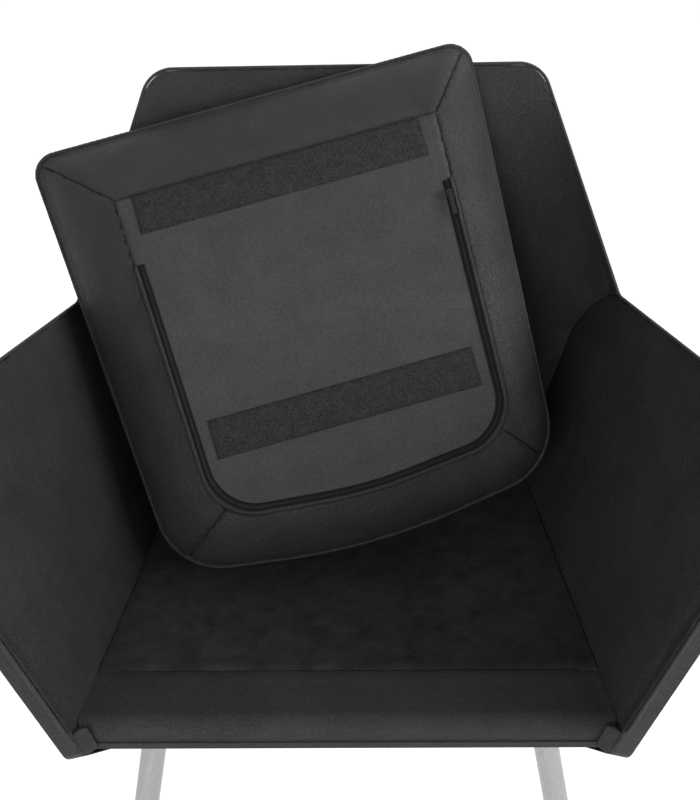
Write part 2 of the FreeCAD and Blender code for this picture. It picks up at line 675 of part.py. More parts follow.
cloth = slab(base_level, base_level + dim.dust_cover_thickness)
cloth = cloth.cut([beyond_board, back_wall(board_face, dim.overrun * 2)])
cloth_front = dim.belly_setback + skin * 2
cloth = cloth.common(across(
    [(cloth_front, 0), (wide, 0), (wide, back_top), (cloth_front, back_top)], (0, 0, 0, 0), -wide, wide))
holes = []
for x, y, side, rear in LEG_TOPS.values():
    fall = plate_low - base_level
    centre = Vector(x + side * splay_side * fall, y + rear * splay_front * fall, base_level - dim.overrun / 2)
    holes.append(Part.makeCylinder(dim.leg_diameter / 2 + dim.leg_hole_gap, dim.overrun, centre))
cloth = cloth.cut(holes)
wall_boards = [nodes[name].Shape for name in ("right_arm_board", "left_arm_board", "back_board")]
keep("dust_cover", largest(cloth.cut(wall_boards)))

# Piping along the rim: arm, back, arm

half_welt = dim.welt_diameter / 2
rim_radius = dim.arm_corner_radius + half_welt
foot_lift = dim.arm_foot_radius * 2
foot_edge = on_arm(foot_u - front_run * foot_lift - half_welt, foot_v + foot_lift, half_welt)
front_edge = on_arm(-dim.arm_front_reach - half_welt, dim.arm_front_rise + half_welt, half_welt)
join_edge = rim_join + up_arm * half_welt - Vector(0, half_welt, 0)
top_edge = Vector(half_top + half_welt, back_plane(back_top) + half_welt, back_top + half_welt)
right_rim = [foot_edge, front_edge, join_edge, top_edge]
left_rim = [Vector(-point.x, point.y, point.z) for point in reversed(right_rim)]
rim_radii = [0, rim_radius, dim.welt_bend_radius, dim.back_corner_radius + half_welt]
rim_path = rounded_path(right_rim + left_rim, rim_radii + rim_radii[::-1], False)
ring = Part.Wire(Part.Circle(foot_edge, front_edge - foot_edge, half_welt).toShape())
welt = rim_path.makePipeShell([ring], True, False)
rim_covers = [nodes[name].Shape for name in (
    "back_inner_cover", "back_outer_cover", "right_arm_inner_cover", "left_arm_inner_cover",
    "right_arm_outer_cover", "left_arm_outer_cover", "right_arm_front_band", "left_arm_front_band")]
keep("rim_welt", largest(welt.cut(rim_covers)))

# Cushion, in its own frame: origin at its front edge's middle on the base panel's
# plane, Y to its rear, Z up when it lies in the seat

CUSHION_POINTS = [
    (-dim.cushion_front_width / 2, 0), (dim.cushion_front_width / 2, 0),
    (dim.cushion_rear_width / 2, dim.cushion_side_depth), (0, dim.cushion_depth),
    (-dim.cushion_rear_width / 2, dim.cushion_side_depth)]
CUSHION_RADII = (dim.cushion_front_radius, dim.cushion_front_radius,
                 dim.cushion_rear_radius, dim.cushion_bow_radius, dim.cushion_rear_radius)
shift = dim.panel_side_shift
PANEL_POINTS = [
    (shift - dim.panel_front_width / 2, dim.panel_front_gap),
    (shift + dim.panel_front_width / 2, dim.panel_front_gap),
    (shift + dim.panel_rear_width / 2, dim.panel_side_depth), (shift, dim.panel_depth),
    (shift - dim.panel_rear_width / 2, dim.panel_side_depth)]
PANEL_RADII = (dim.panel_front_radius, dim.panel_front_radius,
               dim.panel_rear_radius, dim.panel_bow_radius, dim.panel_rear_radius)


def inset_outline(points, radii, inset, level):
    smaller = [radius * (1 - inset * 2 / dim.cushion_rear_width) for radius in radii]
    return outline(inset_points(points, inset), smaller, level)


def cushion_side(inset):
    """The border from the base panel out to the seam, bowed at half its height."""
    middle = [((cx + px) / 2, (cy + py) / 2) for (cx, cy), (px, py) in zip(CUSHION_POINTS, PANEL_POINTS)]
    middle_radii = [(one + two) / 2 for one, two in zip(CUSHION_RADII, PANEL_RADII)]
    wires = [inset_outline(PANEL_POINTS, PANEL_RADII, inset, 0),
             inset_outline(middle, middle_radii, inset - dim.border_bulge, dim.border_height / 2),
             inset_outline(CUSHION_POINTS, CUSHION_RADII, inset, dim.border_height)]
    return Part.makeLoft(wires, True, False)


def cushion_crown(inset, lower):
    wires = []
    for inset_share, rise_share in zip(CROWN_INSET_SHARES, CROWN_RISE_SHARES):
        wires.append(inset_outline(CUSHION_POINTS, CUSHION_RADII,
                                   inset + inset_share * dim.cushion_rear_width / 2,
                                   dim.border_height + rise_share * (dim.crown_height - lower)))
    return Part.makeLoft(wires, True, False)


thick = dim.border_thickness
side_outer = cushion_side(0)
side_inner = cushion_side(thick)
panel_level = slab(-dim.overrun, dim.panel_thickness)
border = side_outer.cut(side_inner)
base_panel = side_inner.common(panel_level)
crown_outer = cushion_crown(0, 0)
crown_inner = cushion_crown(thick, dim.leather_thickness)


def wedge(first, second):
    """A block that holds the border between two of the cushion's corners."""
    count = len(CUSHION_POINTS)
    corners = [index % count for index in range(first, second + 1)]
    inner = [PANEL_POINTS[index] for index in corners]
    far = []
    for index in (corners[0], corners[-1]):
        px, py = PANEL_POINTS[index]
        cx, cy = CUSHION_POINTS[index]
        far.append((px + (cx - px) * 2, py + (cy - py) * 2))
        inner[0 if index == corners[0] else -1] = (px - (cx - px) / 4, py - (cy - py) / 4)
    if len(corners) > 2:
        cx, cy = CUSHION_POINTS[corners[1]]
        far.insert(1, (cx, cy + dim.overrun))
        inner = [inner[0], inner[-1]]
    return prism(inner + far[::-1], [0] * (len(inner) + len(far)), -dim.overrun, dim.border_height * 2)


cushion_nodes = []


def keep_cushion(name, shape):
    cushion_nodes.append(name)
    return keep(name, shape)


keep_cushion("cushion_front_border", border.common(wedge(0, 1)))
keep_cushion("cushion_right_border", border.common(wedge(1, 2)))
keep_cushion("cushion_rear_border", border.common(wedge(2, 4)))
keep_cushion("cushion_left_border", border.common(wedge(4, 5)))
keep_cushion("cushion_base_panel", base_panel)
keep_cushion("cushion_foam", side_inner.cut(panel_level).fuse(crown_inner))
keep_cushion("cushion_top_cover", crown_outer.cut(crown_inner))

edge_low = dim.border_height - dim.edge_thickness / 2
edge_ring = Part.Face(inset_outline(CUSHION_POINTS, CUSHION_RADII, -dim.edge_width, edge_low))
edge_ring = edge_ring.extrude(Vector(0, 0, dim.edge_thickness))
keep_cushion("cushion_edge_seam", edge_ring.cut([side_outer, crown_outer]))


def panel_ring(outer, inner, low, high, front):
    """A U along the base panel's sides and rear, open at its front."""
    ring_face = Part.Face(inset_outline(PANEL_POINTS, PANEL_RADII, outer, low))
    ring_face = ring_face.cut(Part.Face(inset_outline(PANEL_POINTS, PANEL_RADII, inner, low)))
    solid = ring_face.extrude(Vector(0, 0, high - low))
    return solid.common(Part.makeBox(wide * 2, wide * 2, dim.overrun, Vector(-wide, front, -dim.overrun)))


tape_low = -dim.zip_tape_thickness
coil_low = tape_low - dim.zip_coil_thickness
tape_start = dim.zip_tape_inset
coil_start = tape_start + (dim.zip_tape_width - dim.zip_coil_width) / 2
coil_end = coil_start + dim.zip_coil_width
keep_cushion("zip_tape", panel_ring(tape_start, tape_start + dim.zip_tape_width, tape_low, 0, dim.zip_front_gap))
keep_cushion("zip_teeth", panel_ring(coil_start, coil_end, coil_low, tape_low, dim.zip_front_gap))
keep_cushion("zip_lip", panel_ring(0, tape_start, -dim.zip_lip_thickness, 0, dim.zip_front_gap - tape_start))


def hook_strip(name, gap, length_ref):
    strip_box = bound(doc.addObject("Part::Box", name), Length="Sizes." + length_ref,
                      Width="Sizes.hook_width", Height="Sizes.hook_thickness")
    length = getattr(dim, length_ref)
    strip_box.Placement = Placement(Vector(shift - length / 2, gap, -dim.hook_thickness), Rotation())
    strip_box.Label = name
    nodes[name] = strip_box
    cushion_nodes.append(name)


hook_strip("front_hook_strip", dim.front_hook_gap, "front_hook_length")
hook_strip("rear_hook_strip", dim.rear_hook_gap, "rear_hook_length")

# Zip slider and its pull tab, on the zip's right side

right_side = Vector((dim.panel_rear_width - dim.panel_front_width) / 2,
                    dim.panel_side_depth - dim.panel_front_gap, 0).normalize()
coil_mid = (coil_start + coil_end) / 2
slide_share = (dim.slider_place - dim.panel_front_gap) / (dim.panel_side_depth - dim.panel_front_gap)
slider_x = (PANEL_POINTS[1][0] + (PANEL_POINTS[2][0] - PANEL_POINTS[1][0]) * slide_share
            - coil_mid / right_side.y)
slider_turn = Rotation(Vector(0, 1, 0), right_side)
slider_place = Placement(Vector(slider_x, dim.slider_place, 0), slider_turn)
slider_high = tape_low - dim.slider_gap
slider_low = slider_high - dim.slider_thickness
half_slider = dim.slider_width / 2
groove_width = dim.zip_coil_width + dim.slider_gap * 2
groove_deep = dim.zip_coil_thickness
pin_radius = dim.pin_diameter / 2
barrel_radius = pin_radius * 2 + dim.slider_gap
pin_level = slider_low - barrel_radius - dim.slider_gap
ear_low = pin_level - pin_radius * 2
ear_inner = dim.pull_width / 2 + dim.slider_gap
body = Part.makeBox(dim.slider_width, dim.slider_length, dim.slider_thickness,
                    Vector(-half_slider, -dim.slider_length / 2, slider_low))
groove = Part.makeBox(groove_width, dim.slider_length * 2, groove_deep,
                      Vector(-groove_width / 2, -dim.slider_length, slider_high - groove_deep))
body = body.cut(groove)
for side in (1, -1):
    ear_x = ear_inner if side > 0 else -ear_inner - dim.ear_thickness
    body = body.fuse(Part.makeBox(dim.ear_thickness, pin_radius * 4, slider_low - ear_low,
                                  Vector(ear_x, -pin_radius * 2, ear_low)))
pin_length = (ear_inner + dim.ear_thickness) * 2
body = body.fuse(Part.makeCylinder(pin_radius, pin_length, Vector(-pin_length / 2, 0, pin_level), Vector(1, 0, 0)))
slider = keep_cushion("zip_slider", body.removeSplitter())

half_pull = dim.pull_width / 2
barrel = Part.makeCylinder(barrel_radius, dim.pull_width, Vector(-half_pull, 0, pin_level), Vector(1, 0, 0))
tab = Part.makeBox(dim.pull_width, dim.pull_length, dim.pull_thickness,
                   Vector(-half_pull, 0, pin_level - dim.pull_thickness / 2))
tab_hole = Part.makeCylinder(pin_radius + dim.pin_gap, dim.pull_width * 2,
                             Vector(-dim.pull_width, 0, pin_level), Vector(1, 0, 0))
tab_body = barrel.fuse(tab).cut(tab_hole).removeSplitter()
pull = keep_cushion("zip_pull_tab", tab_body)

# The cushion is turned over and leaned back until it touches the deck and the back

doc.recompute()
tilt = math.radians(dim.cushion_lean)
turn = math.radians(dim.cushion_turn)
swing = math.radians(dim.cushion_swing)
level_right = Vector(math.cos(swing), math.sin(swing), 0)
steep_up = Vector(-math.sin(swing) * math.sin(tilt), math.cos(swing) * math.sin(tilt), math.cos(tilt))
cushion_x = level_right * math.cos(turn) + steep_up * math.sin(turn)
cushion_y = level_right * math.sin(turn) - steep_up * math.cos(turn)
cushion_z = cushion_x.cross(cushion_y)
corner = Vector(-dim.cushion_rear_width / 2, dim.cushion_side_depth, dim.border_height)
corner_turned = cushion_x * corner.x + cushion_y * corner.y + cushion_z * corner.z
start = Vector(-dim.cushion_corner_side, dim.cushion_front_start, deck_top) - corner_turned
cushion_place = Placement(Matrix(
    cushion_x.x, cushion_y.x, cushion_z.x, start.x,
    cushion_x.y, cushion_y.y, cushion_z.y, start.y,
    cushion_x.z, cushion_y.z, cushion_z.z, start.z,
    0, 0, 0, 1))
cushion_body = Part.makeCompound([crown_outer, nodes["cushion_edge_seam"].Shape])
cushion_body.Placement = cushion_place
sink = cushion_body.optimalBoundingBox(False).ZMin - deck_top - dim.rest_gap
cushion_place.Base = cushion_place.Base - Vector(0, 0, sink)
back_faces = Part.makeCompound([nodes["back_inner_cover"].Shape, nodes["rim_welt"].Shape])
gap = dim.cushion_depth
while gap > dim.rest_gap * 2:
    cushion_body.Placement = cushion_place
    gap = cushion_body.distToShape(back_faces)[0]
    if gap > dim.rest_gap * 2:
        cushion_place.Base = cushion_place.Base + Vector(0, gap - dim.rest_gap, 0)

for name in cushion_nodes:
    feature = nodes[name]
    feature.Placement = cushion_place.multiply(feature.Placement)
for feature in (slider, pull):
    feature.Placement = cushion_place.multiply(slider_place)

# The origin goes to the floor under the middle of the whole chair

doc.recompute()
whole = Part.makeCompound([feature.Shape for feature in nodes.values()]).optimalBoundingBox(False)
to_middle = Placement(Vector(-(whole.XMin + whole.XMax) / 2, -(whole.YMin + whole.YMax) / 2, 0), Rotation())
for feature in nodes.values():
    feature.Placement = to_middle.multiply(feature.Placement)
doc.recompute()

# Every object has to be sound before anything is written

for item in doc.Objects:
    if any(state in ("Invalid", "Error") for state in item.State):
        raise RuntimeError(f"{item.Label} failed: {item.State}")
os.makedirs("parts", exist_ok=True)
for name, feature in nodes.items():
    shape = feature.Shape
    if shape.isNull() or not shape.isValid() or not shape.Solids:
        raise RuntimeError(f"{name} has no sound solid")
    shape.exportStep(f"parts/{name}.step")
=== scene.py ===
import json
import math

import bmesh
import bpy
from mathutils import Matrix, Vector, noise
from mathutils.bvhtree import BVHTree


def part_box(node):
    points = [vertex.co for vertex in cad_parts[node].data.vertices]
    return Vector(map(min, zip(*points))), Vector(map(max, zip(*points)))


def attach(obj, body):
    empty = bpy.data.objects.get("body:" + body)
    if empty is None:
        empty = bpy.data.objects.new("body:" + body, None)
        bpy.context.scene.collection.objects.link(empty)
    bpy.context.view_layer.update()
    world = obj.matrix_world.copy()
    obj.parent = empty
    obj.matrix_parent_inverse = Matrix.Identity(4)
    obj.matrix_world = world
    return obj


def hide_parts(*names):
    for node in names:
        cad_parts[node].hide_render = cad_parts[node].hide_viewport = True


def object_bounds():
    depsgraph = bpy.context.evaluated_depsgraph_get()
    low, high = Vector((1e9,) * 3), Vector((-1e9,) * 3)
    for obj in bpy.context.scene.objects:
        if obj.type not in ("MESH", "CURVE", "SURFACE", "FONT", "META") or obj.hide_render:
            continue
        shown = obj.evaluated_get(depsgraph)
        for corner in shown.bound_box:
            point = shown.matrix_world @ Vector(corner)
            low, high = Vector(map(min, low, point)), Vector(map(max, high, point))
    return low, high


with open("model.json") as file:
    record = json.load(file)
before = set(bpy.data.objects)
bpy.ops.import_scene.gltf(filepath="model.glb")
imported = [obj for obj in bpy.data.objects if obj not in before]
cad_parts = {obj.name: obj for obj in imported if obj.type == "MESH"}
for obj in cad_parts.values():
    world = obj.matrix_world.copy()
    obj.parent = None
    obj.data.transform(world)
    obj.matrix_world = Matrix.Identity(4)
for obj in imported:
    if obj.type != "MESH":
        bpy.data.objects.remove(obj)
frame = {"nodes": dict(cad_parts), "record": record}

# Metres throughout. MM turns a size in millimetres into metres.
MM = 0.001
UP = Vector((0, 0, 1))
WHITE = (1, 1, 1, 1)
SIDES = (("left", -1), ("right", 1))
cad_low, cad_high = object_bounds()
nodes = frame["nodes"]
DECK_TOP = Vector(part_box("deck_felt")[1]).z
DECK_FRONT = Vector(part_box("deck_front_strip")[0]).y

# Sizes that the frame's boxes don't give

DECK_FRONT_WIDTH = 486 * MM
DECK_REAR_WIDTH = 416 * MM
DECK_DEPTH = 456 * MM
STRIP_DEPTH = 72 * MM
STRIP_ROLL = 18 * MM
FRONT_SEAM = DECK_TOP - 20 * MM
FELT = 2 * MM
BELLY_LIP = 27 * MM
BELLY_SETBACK = 67 * MM
BASE_DEPTH = 84 * MM
ARM_LEAN = math.radians(19.7)
COVER = 1.5 * MM
ARM_FRONT_RISE = 312 * MM
ARM_FRONT_REACH = 28 * MM
ARM_FOOT_REACH = 8 * MM
FOOT_RISE = -27 * MM / math.cos(ARM_LEAN)
ARM_FRONT_SLOPE = (ARM_FRONT_REACH - ARM_FOOT_REACH) / (ARM_FRONT_RISE - FOOT_RISE)
ARM_REAR_REACH = 395 * MM
ARM_REAR_RISE = 254 * MM

CUSHION_LEAN = math.radians(30.2)
CUSHION_TURN = math.radians(14)
CUSHION_SWING = math.radians(2.6)
HOOK_WIDTH = 42 * MM
HOOK_THICK = 1.5 * MM
HOOK_STEP = 2.1 * MM
BORDER_HEIGHT = 50 * MM
BORDER_MIDDLE = 250 * MM
BASE_EDGE = -2 * MM

FOAM_VOXEL = 5 * MM
CUSHION_VOXEL = 4.4 * MM
PIPING_VOXEL = 1.1 * MM
EDGE_ROUND = 0.45 * MM
BEND_ANGLE = math.radians(20)
ROUND_ANGLE = math.radians(40)
SHARP_ANGLE = math.radians(50)

# Sizes in the cushion's own plane, in millimetres from the middle of its front edge

HALF_FRONT = 246.5
HALF_REAR = 213.5
SIDE_DEPTH = 473
PEAK_DEPTH = 504
PANEL_SHIFT = 9
PANEL_HALF_FRONT = 175
PANEL_HALF_REAR = 162
PANEL_FRONT = 79.5
PANEL_SIDE_DEPTH = 430
PANEL_PEAK = 446
FRONT_STRIP = (PANEL_SHIFT, 156, 80)
REAR_STRIP = (PANEL_SHIFT, 142.5, 327)
ZIP_FRONT = 150
ZIP_INSET = 7
EDGE_SEAM_INSET = 7
PANEL_SEAM_OUTSET = 2.2
TOOTH_PITCH = 1.5
CUSHION_CORNERS = [(-HALF_FRONT, 0), (HALF_FRONT, 0), (HALF_REAR, SIDE_DEPTH), (0, PEAK_DEPTH),
                   (-HALF_REAR, SIDE_DEPTH)]
CUSHION_RADII = [25, 25, 72, 700, 72]
PANEL_CORNERS = [(PANEL_SHIFT - PANEL_HALF_FRONT, PANEL_FRONT), (PANEL_SHIFT + PANEL_HALF_FRONT, PANEL_FRONT),
                 (PANEL_SHIFT + PANEL_HALF_REAR, PANEL_SIDE_DEPTH), (PANEL_SHIFT, PANEL_PEAK),
                 (PANEL_SHIFT - PANEL_HALF_REAR, PANEL_SIDE_DEPTH)]
PANEL_RADII = [3, 3, 55, 500, 55]


# Places: the arm's frame and the cushion's frame

def frame_at(origin, x, y, z):
    return Matrix.Translation(origin) @ Matrix((x, y, z)).transposed().to_4x4()


ARM_CORNER = Vector((DECK_FRONT_WIDTH / 2, DECK_FRONT, DECK_TOP))
deck_side = math.hypot((DECK_FRONT_WIDTH - DECK_REAR_WIDTH) / 2, DECK_DEPTH)
ALONG = Vector(((DECK_REAR_WIDTH - DECK_FRONT_WIDTH) / 2, DECK_DEPTH, 0)) / deck_side
OUT = Vector((ALONG.y, -ALONG.x, 0))
UP_ARM = OUT * math.sin(ARM_LEAN) + Vector((0, 0, math.cos(ARM_LEAN)))
OFF_ARM = OUT * math.cos(ARM_LEAN) - Vector((0, 0, math.sin(ARM_LEAN)))


def flipped(point, side):
    return Vector((point.x * side, point.y, point.z))


def on_arm(u, v, side):
    """A point of the arm's inner face, along and up from its front corner."""
    return flipped(ARM_CORNER + ALONG * u + UP_ARM * v, side)


level_right = Vector((math.cos(CUSHION_SWING), math.sin(CUSHION_SWING), 0))
steep_up = Vector((-math.sin(CUSHION_SWING) * math.sin(CUSHION_LEAN),
                   math.cos(CUSHION_SWING) * math.sin(CUSHION_LEAN), math.cos(CUSHION_LEAN)))
CUSHION_X = level_right * math.cos(CUSHION_TURN) + steep_up * math.sin(CUSHION_TURN)
CUSHION_Y = level_right * math.sin(CUSHION_TURN) - steep_up * math.cos(CUSHION_TURN)
CUSHION_Z = CUSHION_X.cross(CUSHION_Y)
strip_low, strip_high = map(Vector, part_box("front_hook_strip"))
strip_middle = (strip_low + strip_high) / 2
CUSHION_ORIGIN = (strip_middle - CUSHION_X * (PANEL_SHIFT * MM)
                  - CUSHION_Y * (FRONT_STRIP[2] * MM + HOOK_WIDTH / 2) + CUSHION_Z * (HOOK_THICK / 2))
CUSHION_MATRIX = frame_at(CUSHION_ORIGIN, CUSHION_X, CUSHION_Y, CUSHION_Z)
TO_CUSHION = CUSHION_MATRIX.inverted()


# Outlines in the cushion's plane

def inset_corners(corners, inset):
    lines = []
    for index, (x, y) in enumerate(corners):
        nx, ny = corners[(index + 1) % len(corners)]
        run = math.hypot(nx - x, ny - y)
        ux, uy = (nx - x) / run, (ny - y) / run
        lines.append((x - uy * inset, y + ux * inset, ux, uy))
    moved = []
    for index, (x, y, ux, uy) in enumerate(lines):
        px, py, vx, vy = lines[index - 1]
        step = (vx * (y - py) - vy * (x - px)) / (ux * vy - uy * vx)
        moved.append((x + ux * step, y + uy * step))
    return moved


def corner_round(corners, index, radius):
    """A corner, the directions back and ahead, half its angle and the centre of its rounding."""
    here = Vector(corners[index])
    back = (Vector(corners[index - 1]) - here).normalized()
    ahead = (Vector(corners[(index + 1) % len(corners)]) - here).normalized()
    half = back.angle(ahead) / 2
    centre = here + (back + ahead).normalized() * radius / math.sin(half)
    return here, back, ahead, half, centre


def round_outline(corners, radii, inset, arc_step=6):
    """Points of a closed outline with rounded corners, in millimetres."""
    corners = inset_corners(corners, inset)
    scale = 1 - inset * 2 / (CUSHION_CORNERS[2][0] - CUSHION_CORNERS[4][0])
    points = []
    for index, radius in enumerate(radii):
        radius = radius * scale
        here, back, _, half, centre = corner_round(corners, index, radius)
        start = here + back * radius / math.tan(half) - centre
        sweep = math.pi - 2 * half
        count = max(3, int(radius * sweep / arc_step))
        for step in range(count + 1):
            points.append(centre + Matrix.Rotation(sweep * step / count, 2) @ start)
    return points


def resampled(points, spacing, closed):
    """Evenly spaced points along a line of points."""
    line = list(points) + ([points[0]] if closed else [])
    lengths = [0.0]
    for a, b in zip(line, line[1:]):
        lengths.append(lengths[-1] + (b - a).length)
    count = max(2, round(lengths[-1] / spacing))
    result = []
    segment = 0
    for step in range(count if closed else count + 1):
        at = lengths[-1] * step / count
        while segment < len(line) - 2 and lengths[segment + 1] < at:
            segment += 1
        run = lengths[segment + 1] - lengths[segment]
        share = (at - lengths[segment]) / run if run > 0 else 0
        result.append(line[segment].lerp(line[segment + 1], share))
    return result


# Materials

def grey(value):
    return (value,) * 3


def join(value, socket):
    """Sets a socket to a plain value or links a node's output to it."""
    if isinstance(value, bpy.types.NodeSocket):
        socket.id_data.links.new(value, socket)
    else:
        socket.default_value = value


def shader(name, roughness, specular=0.5, metallic=0.0, sheen=0.0):
    material = bpy.data.materials.new(name)
    material.use_nodes = True
    base = material.node_tree.nodes["Principled BSDF"]
    for key, value in (("Roughness", roughness), ("Specular IOR Level", specular),
                       ("Metallic", metallic), ("Sheen Weight", sheen)):
        base.inputs[key].default_value = value
    return material, base


def add(owner, kind, **inputs):
    """A node in the owner's tree; an underscore in a socket's key stands for a space."""
    node = owner.id_data.nodes.new("ShaderNode" + kind)
    for key, value in inputs.items():
        if key.replace("_", " ") in node.inputs:
            join(value, node.inputs[key.replace("_", " ")])
        else:
            setattr(node, key, value)
    return node


def object_point(owner, scale=(1, 1, 1), source="Object"):
    place = add(owner, "TexCoord").outputs[source]
    return add(owner, "Mapping", Vector=place, Scale=scale).outputs["Vector"]


def noise_map(point, size_mm, detail=2.0, rough=0.5, output="Fac"):
    scale = 1 / (size_mm * MM)
    return add(point, "TexNoise", Vector=point, Scale=scale, Detail=detail, Roughness=rough).outputs[output]


def cell_map(point, size_mm, **settings):
    scale = 1 / (size_mm * MM)
    return add(point, "TexVoronoi", Vector=point, Scale=scale, **settings).outputs["Distance"]


def paint(base, value, low, high, start=0.3, end=0.7):
    """Colours the surface from dark to light by a value."""
    blend = add(base, "ValToRGB", Fac=value)
    for element, place, colour in zip(blend.color_ramp.elements, (start, end), (low, high)):
        element.position = place
        element.color = (*colour, 1)
    join(blend.outputs["Color"], base.inputs["Base Color"])


def remap(value, low, high):
    return add(value, "MapRange", Value=value, To_Min=low, To_Max=high).outputs["Result"]


def bump(base, *heights):
    """Chains bumps of (height output, depth in millimetres, strength)."""
    last = None
    for height, depth, strength in heights:
        node = add(base, "Bump", Strength=strength, Distance=depth * MM, Height=height)
        if last:
            join(last, node.inputs["Normal"])
        last = node.outputs["Normal"]
    join(last, base.inputs["Normal"])


def worked(operation, first, second=0):
    """An operation on two values, at least one of them a node's output."""
    owner = first if isinstance(first, bpy.types.NodeSocket) else second
    node = add(owner, "Math", operation=operation)
    join(first, node.inputs[0])
    join(second, node.inputs[1])
    return node.outputs[0]


def blend_of(*parts):
    """The sum of (value, share) pairs."""
    scaled = [worked("MULTIPLY", value, share) for value, share in parts]
    total = scaled[0]
    for part in scaled[1:]:
        total = worked("ADD", total, part)
    return total


def grained_leather(name, dark, light, roughness=0.46, grain_mm=1.5):
    """Black faux leather: pebbled grain, soft creases and slightly polished high spots."""
    material, base = shader(name, roughness, 0.24)
    point = object_point(base)
    warp = add(base, "VectorMath", operation="MULTIPLY_ADD")
    for socket, value in zip(warp.inputs, (noise_map(point, 3, output="Color"), grey(0.9 * MM), point)):
        join(value, socket)
    cells = cell_map(warp.outputs["Vector"], grain_mm, feature="DISTANCE_TO_EDGE")
    pebble = worked("MINIMUM", cells, 0.22)
    creases = noise_map(point, 26, 3.0, 0.55)
    pores = noise_map(point, 0.5, 1.0)
    tone = blend_of((noise_map(point, 60, 3.0), 0.35), (noise_map(point, 2.2, 3.0, 0.7), 0.65))
    paint(base, tone, dark, light)
    mottle = noise_map(point, 4.5, 2.0)
    rough = worked("SUBTRACT", remap(creases, roughness - 0.05, roughness + 0.12),
                   blend_of((pebble, 0.45), (mottle, 0.16)))
    join(worked("ADD", rough, 0.12), base.inputs["Roughness"])
    bump(base, (pebble, 2.0, 0.9), (pores, 0.15, 0.4), (mottle, 1.1, 0.6), (creases, 2.4, 0.4))
    return material


def woven_cloth(name, dark, light, thread_mm, roughness=0.85, source="UV"):
    """Plain weave: two thread directions that pass over and under each other."""
    material, base = shader(name, roughness, 0.08, sheen=0.015)
    split = add(base, "SeparateXYZ", Vector=object_point(base, source=source))
    turn = math.pi / (thread_mm * MM)
    warp, weft = [worked("SINE", worked("MULTIPLY", split.outputs[axis], turn)) for axis in "XY"]
    threads = worked("ADD", worked("ABSOLUTE", warp), worked("ABSOLUTE", weft))
    height = worked("ADD", blend_of((worked("MULTIPLY", warp, weft), 0.5)), threads)
    point = object_point(base)
    fuzz = noise_map(point, 0.7, 3.0)
    tone = noise_map(point, 35, 4.0)
    slub = noise_map(point, 2.6, 2.0)
    mixed = blend_of((height, 0.22), (tone, 0.28), (fuzz, 0.2), (slub, 0.45))
    paint(base, mixed, dark, light, 0.4, 0.95)
    bump(base, (height, 0.18, 0.5), (fuzz, 0.12, 0.4), (tone, 1.2, 0.3))
    return material


def needled_felt(name, dark, light):
    material, base = shader(name, 0.97, 0.05, sheen=0.02)
    base.inputs["Sheen Roughness"].default_value = 0.6
    base.inputs["Sheen Tint"].default_value = (0.35, 0.35, 0.35, 1)
    fibres = noise_map(object_point(base, (1, 0.35, 1)), 0.6, 4.0, 0.7)
    cross = noise_map(object_point(base, (0.35, 1, 1)), 0.7, 4.0, 0.7)
    both = worked("ADD", fibres, cross)
    cloud = noise_map(object_point(base), 22, 5.0, 0.65)
    paint(base, blend_of((both, 0.35), (cloud, 0.5)), dark, light, 0.4, 0.85)
    bump(base, (both, 0.5, 0.6), (cloud, 1.0, 0.3))
    return material


def hook_tape(name, dark, light):
    """Rows of fine hooks: a close grid of points with a few that catch the light."""
    material, base = shader(name, 0.6, 0.12)
    point = object_point(base, source="UV")
    hooks = cell_map(point, 0.9, feature="F1", Randomness=0.55)
    rows = add(base, "TexWave", bands_direction="Y", Scale=1 / (6.3 * MM), Vector=point)
    height = worked("SUBTRACT", 1.0, hooks)
    cloud = noise_map(object_point(base), 9, 3.0)
    clumps = noise_map(object_point(base), 2.2, 2.0, 0.7)
    mixed = blend_of((height, 0.45), (cloud, 0.15), (clumps, 0.4))
    paint(base, mixed, dark, light, 0.38, 0.8)
    join(remap(hooks, 0.42, 0.85), base.inputs["Roughness"])
    bump(base, (height, 0.6, 0.8), (rows.outputs["Fac"], 0.2, 0.3))
    return material


def brushed_tube(name, colour):
    material, base = shader(name, 0.3, metallic=1.0)
    base.inputs["Anisotropic"].default_value = 0.4
    lines = noise_map(object_point(base, (1, 1, 0.02)), 0.35, 4.0, 0.7)
    smear = noise_map(object_point(base), 30, 3.0)
    paint(base, lines, tuple(channel * 0.6 for channel in colour), colour)
    rough = worked("ADD", remap(lines, 0.2, 0.36), blend_of((smear, 0.1)))
    join(rough, base.inputs["Roughness"])
    bump(base, (lines, 0.05, 0.35))
    return material


def moulded_plastic(name, dark, light, roughness=0.5, texture_mm=0.6):
    material, base = shader(name, roughness, 0.4)
    point = object_point(base)
    broad = noise_map(point, 12, 3.0)
    paint(base, broad, dark, light)
    join(remap(broad, roughness - 0.08, roughness + 0.12), base.inputs["Roughness"])
    bump(base, (noise_map(point, texture_mm, 3.0), 0.08, 0.4))
    return material


def enamelled_metal(name, dark, light, roughness, metallic, specular=0.5):
    material, base = shader(name, roughness, specular, metallic)
    wear = noise_map(object_point(base), 2.5, 4.0, 0.7)
    paint(base, wear, dark, light, 0.5, 0.75)
    join(remap(wear, roughness + 0.12, roughness - 0.06), base.inputs["Roughness"])
    bump(base, (wear, 0.05, 0.25))
    return material


def sawn_wood(name, dark, light, grain_scale):
    material, base = shader(name, 0.7, 0.25)
    point = object_point(base, grain_scale)
    grain = add(base, "TexWave", bands_direction="Z", Scale=90.0, Distortion=6.0, Detail=3.0, Vector=point)
    mixed = blend_of((grain.outputs["Fac"], 0.5), (noise_map(point, 3, 4.0, 0.7), 0.5))
    paint(base, mixed, dark, light, 0.25, 0.8)
    bump(base, (mixed, 0.3, 0.4))
    return material


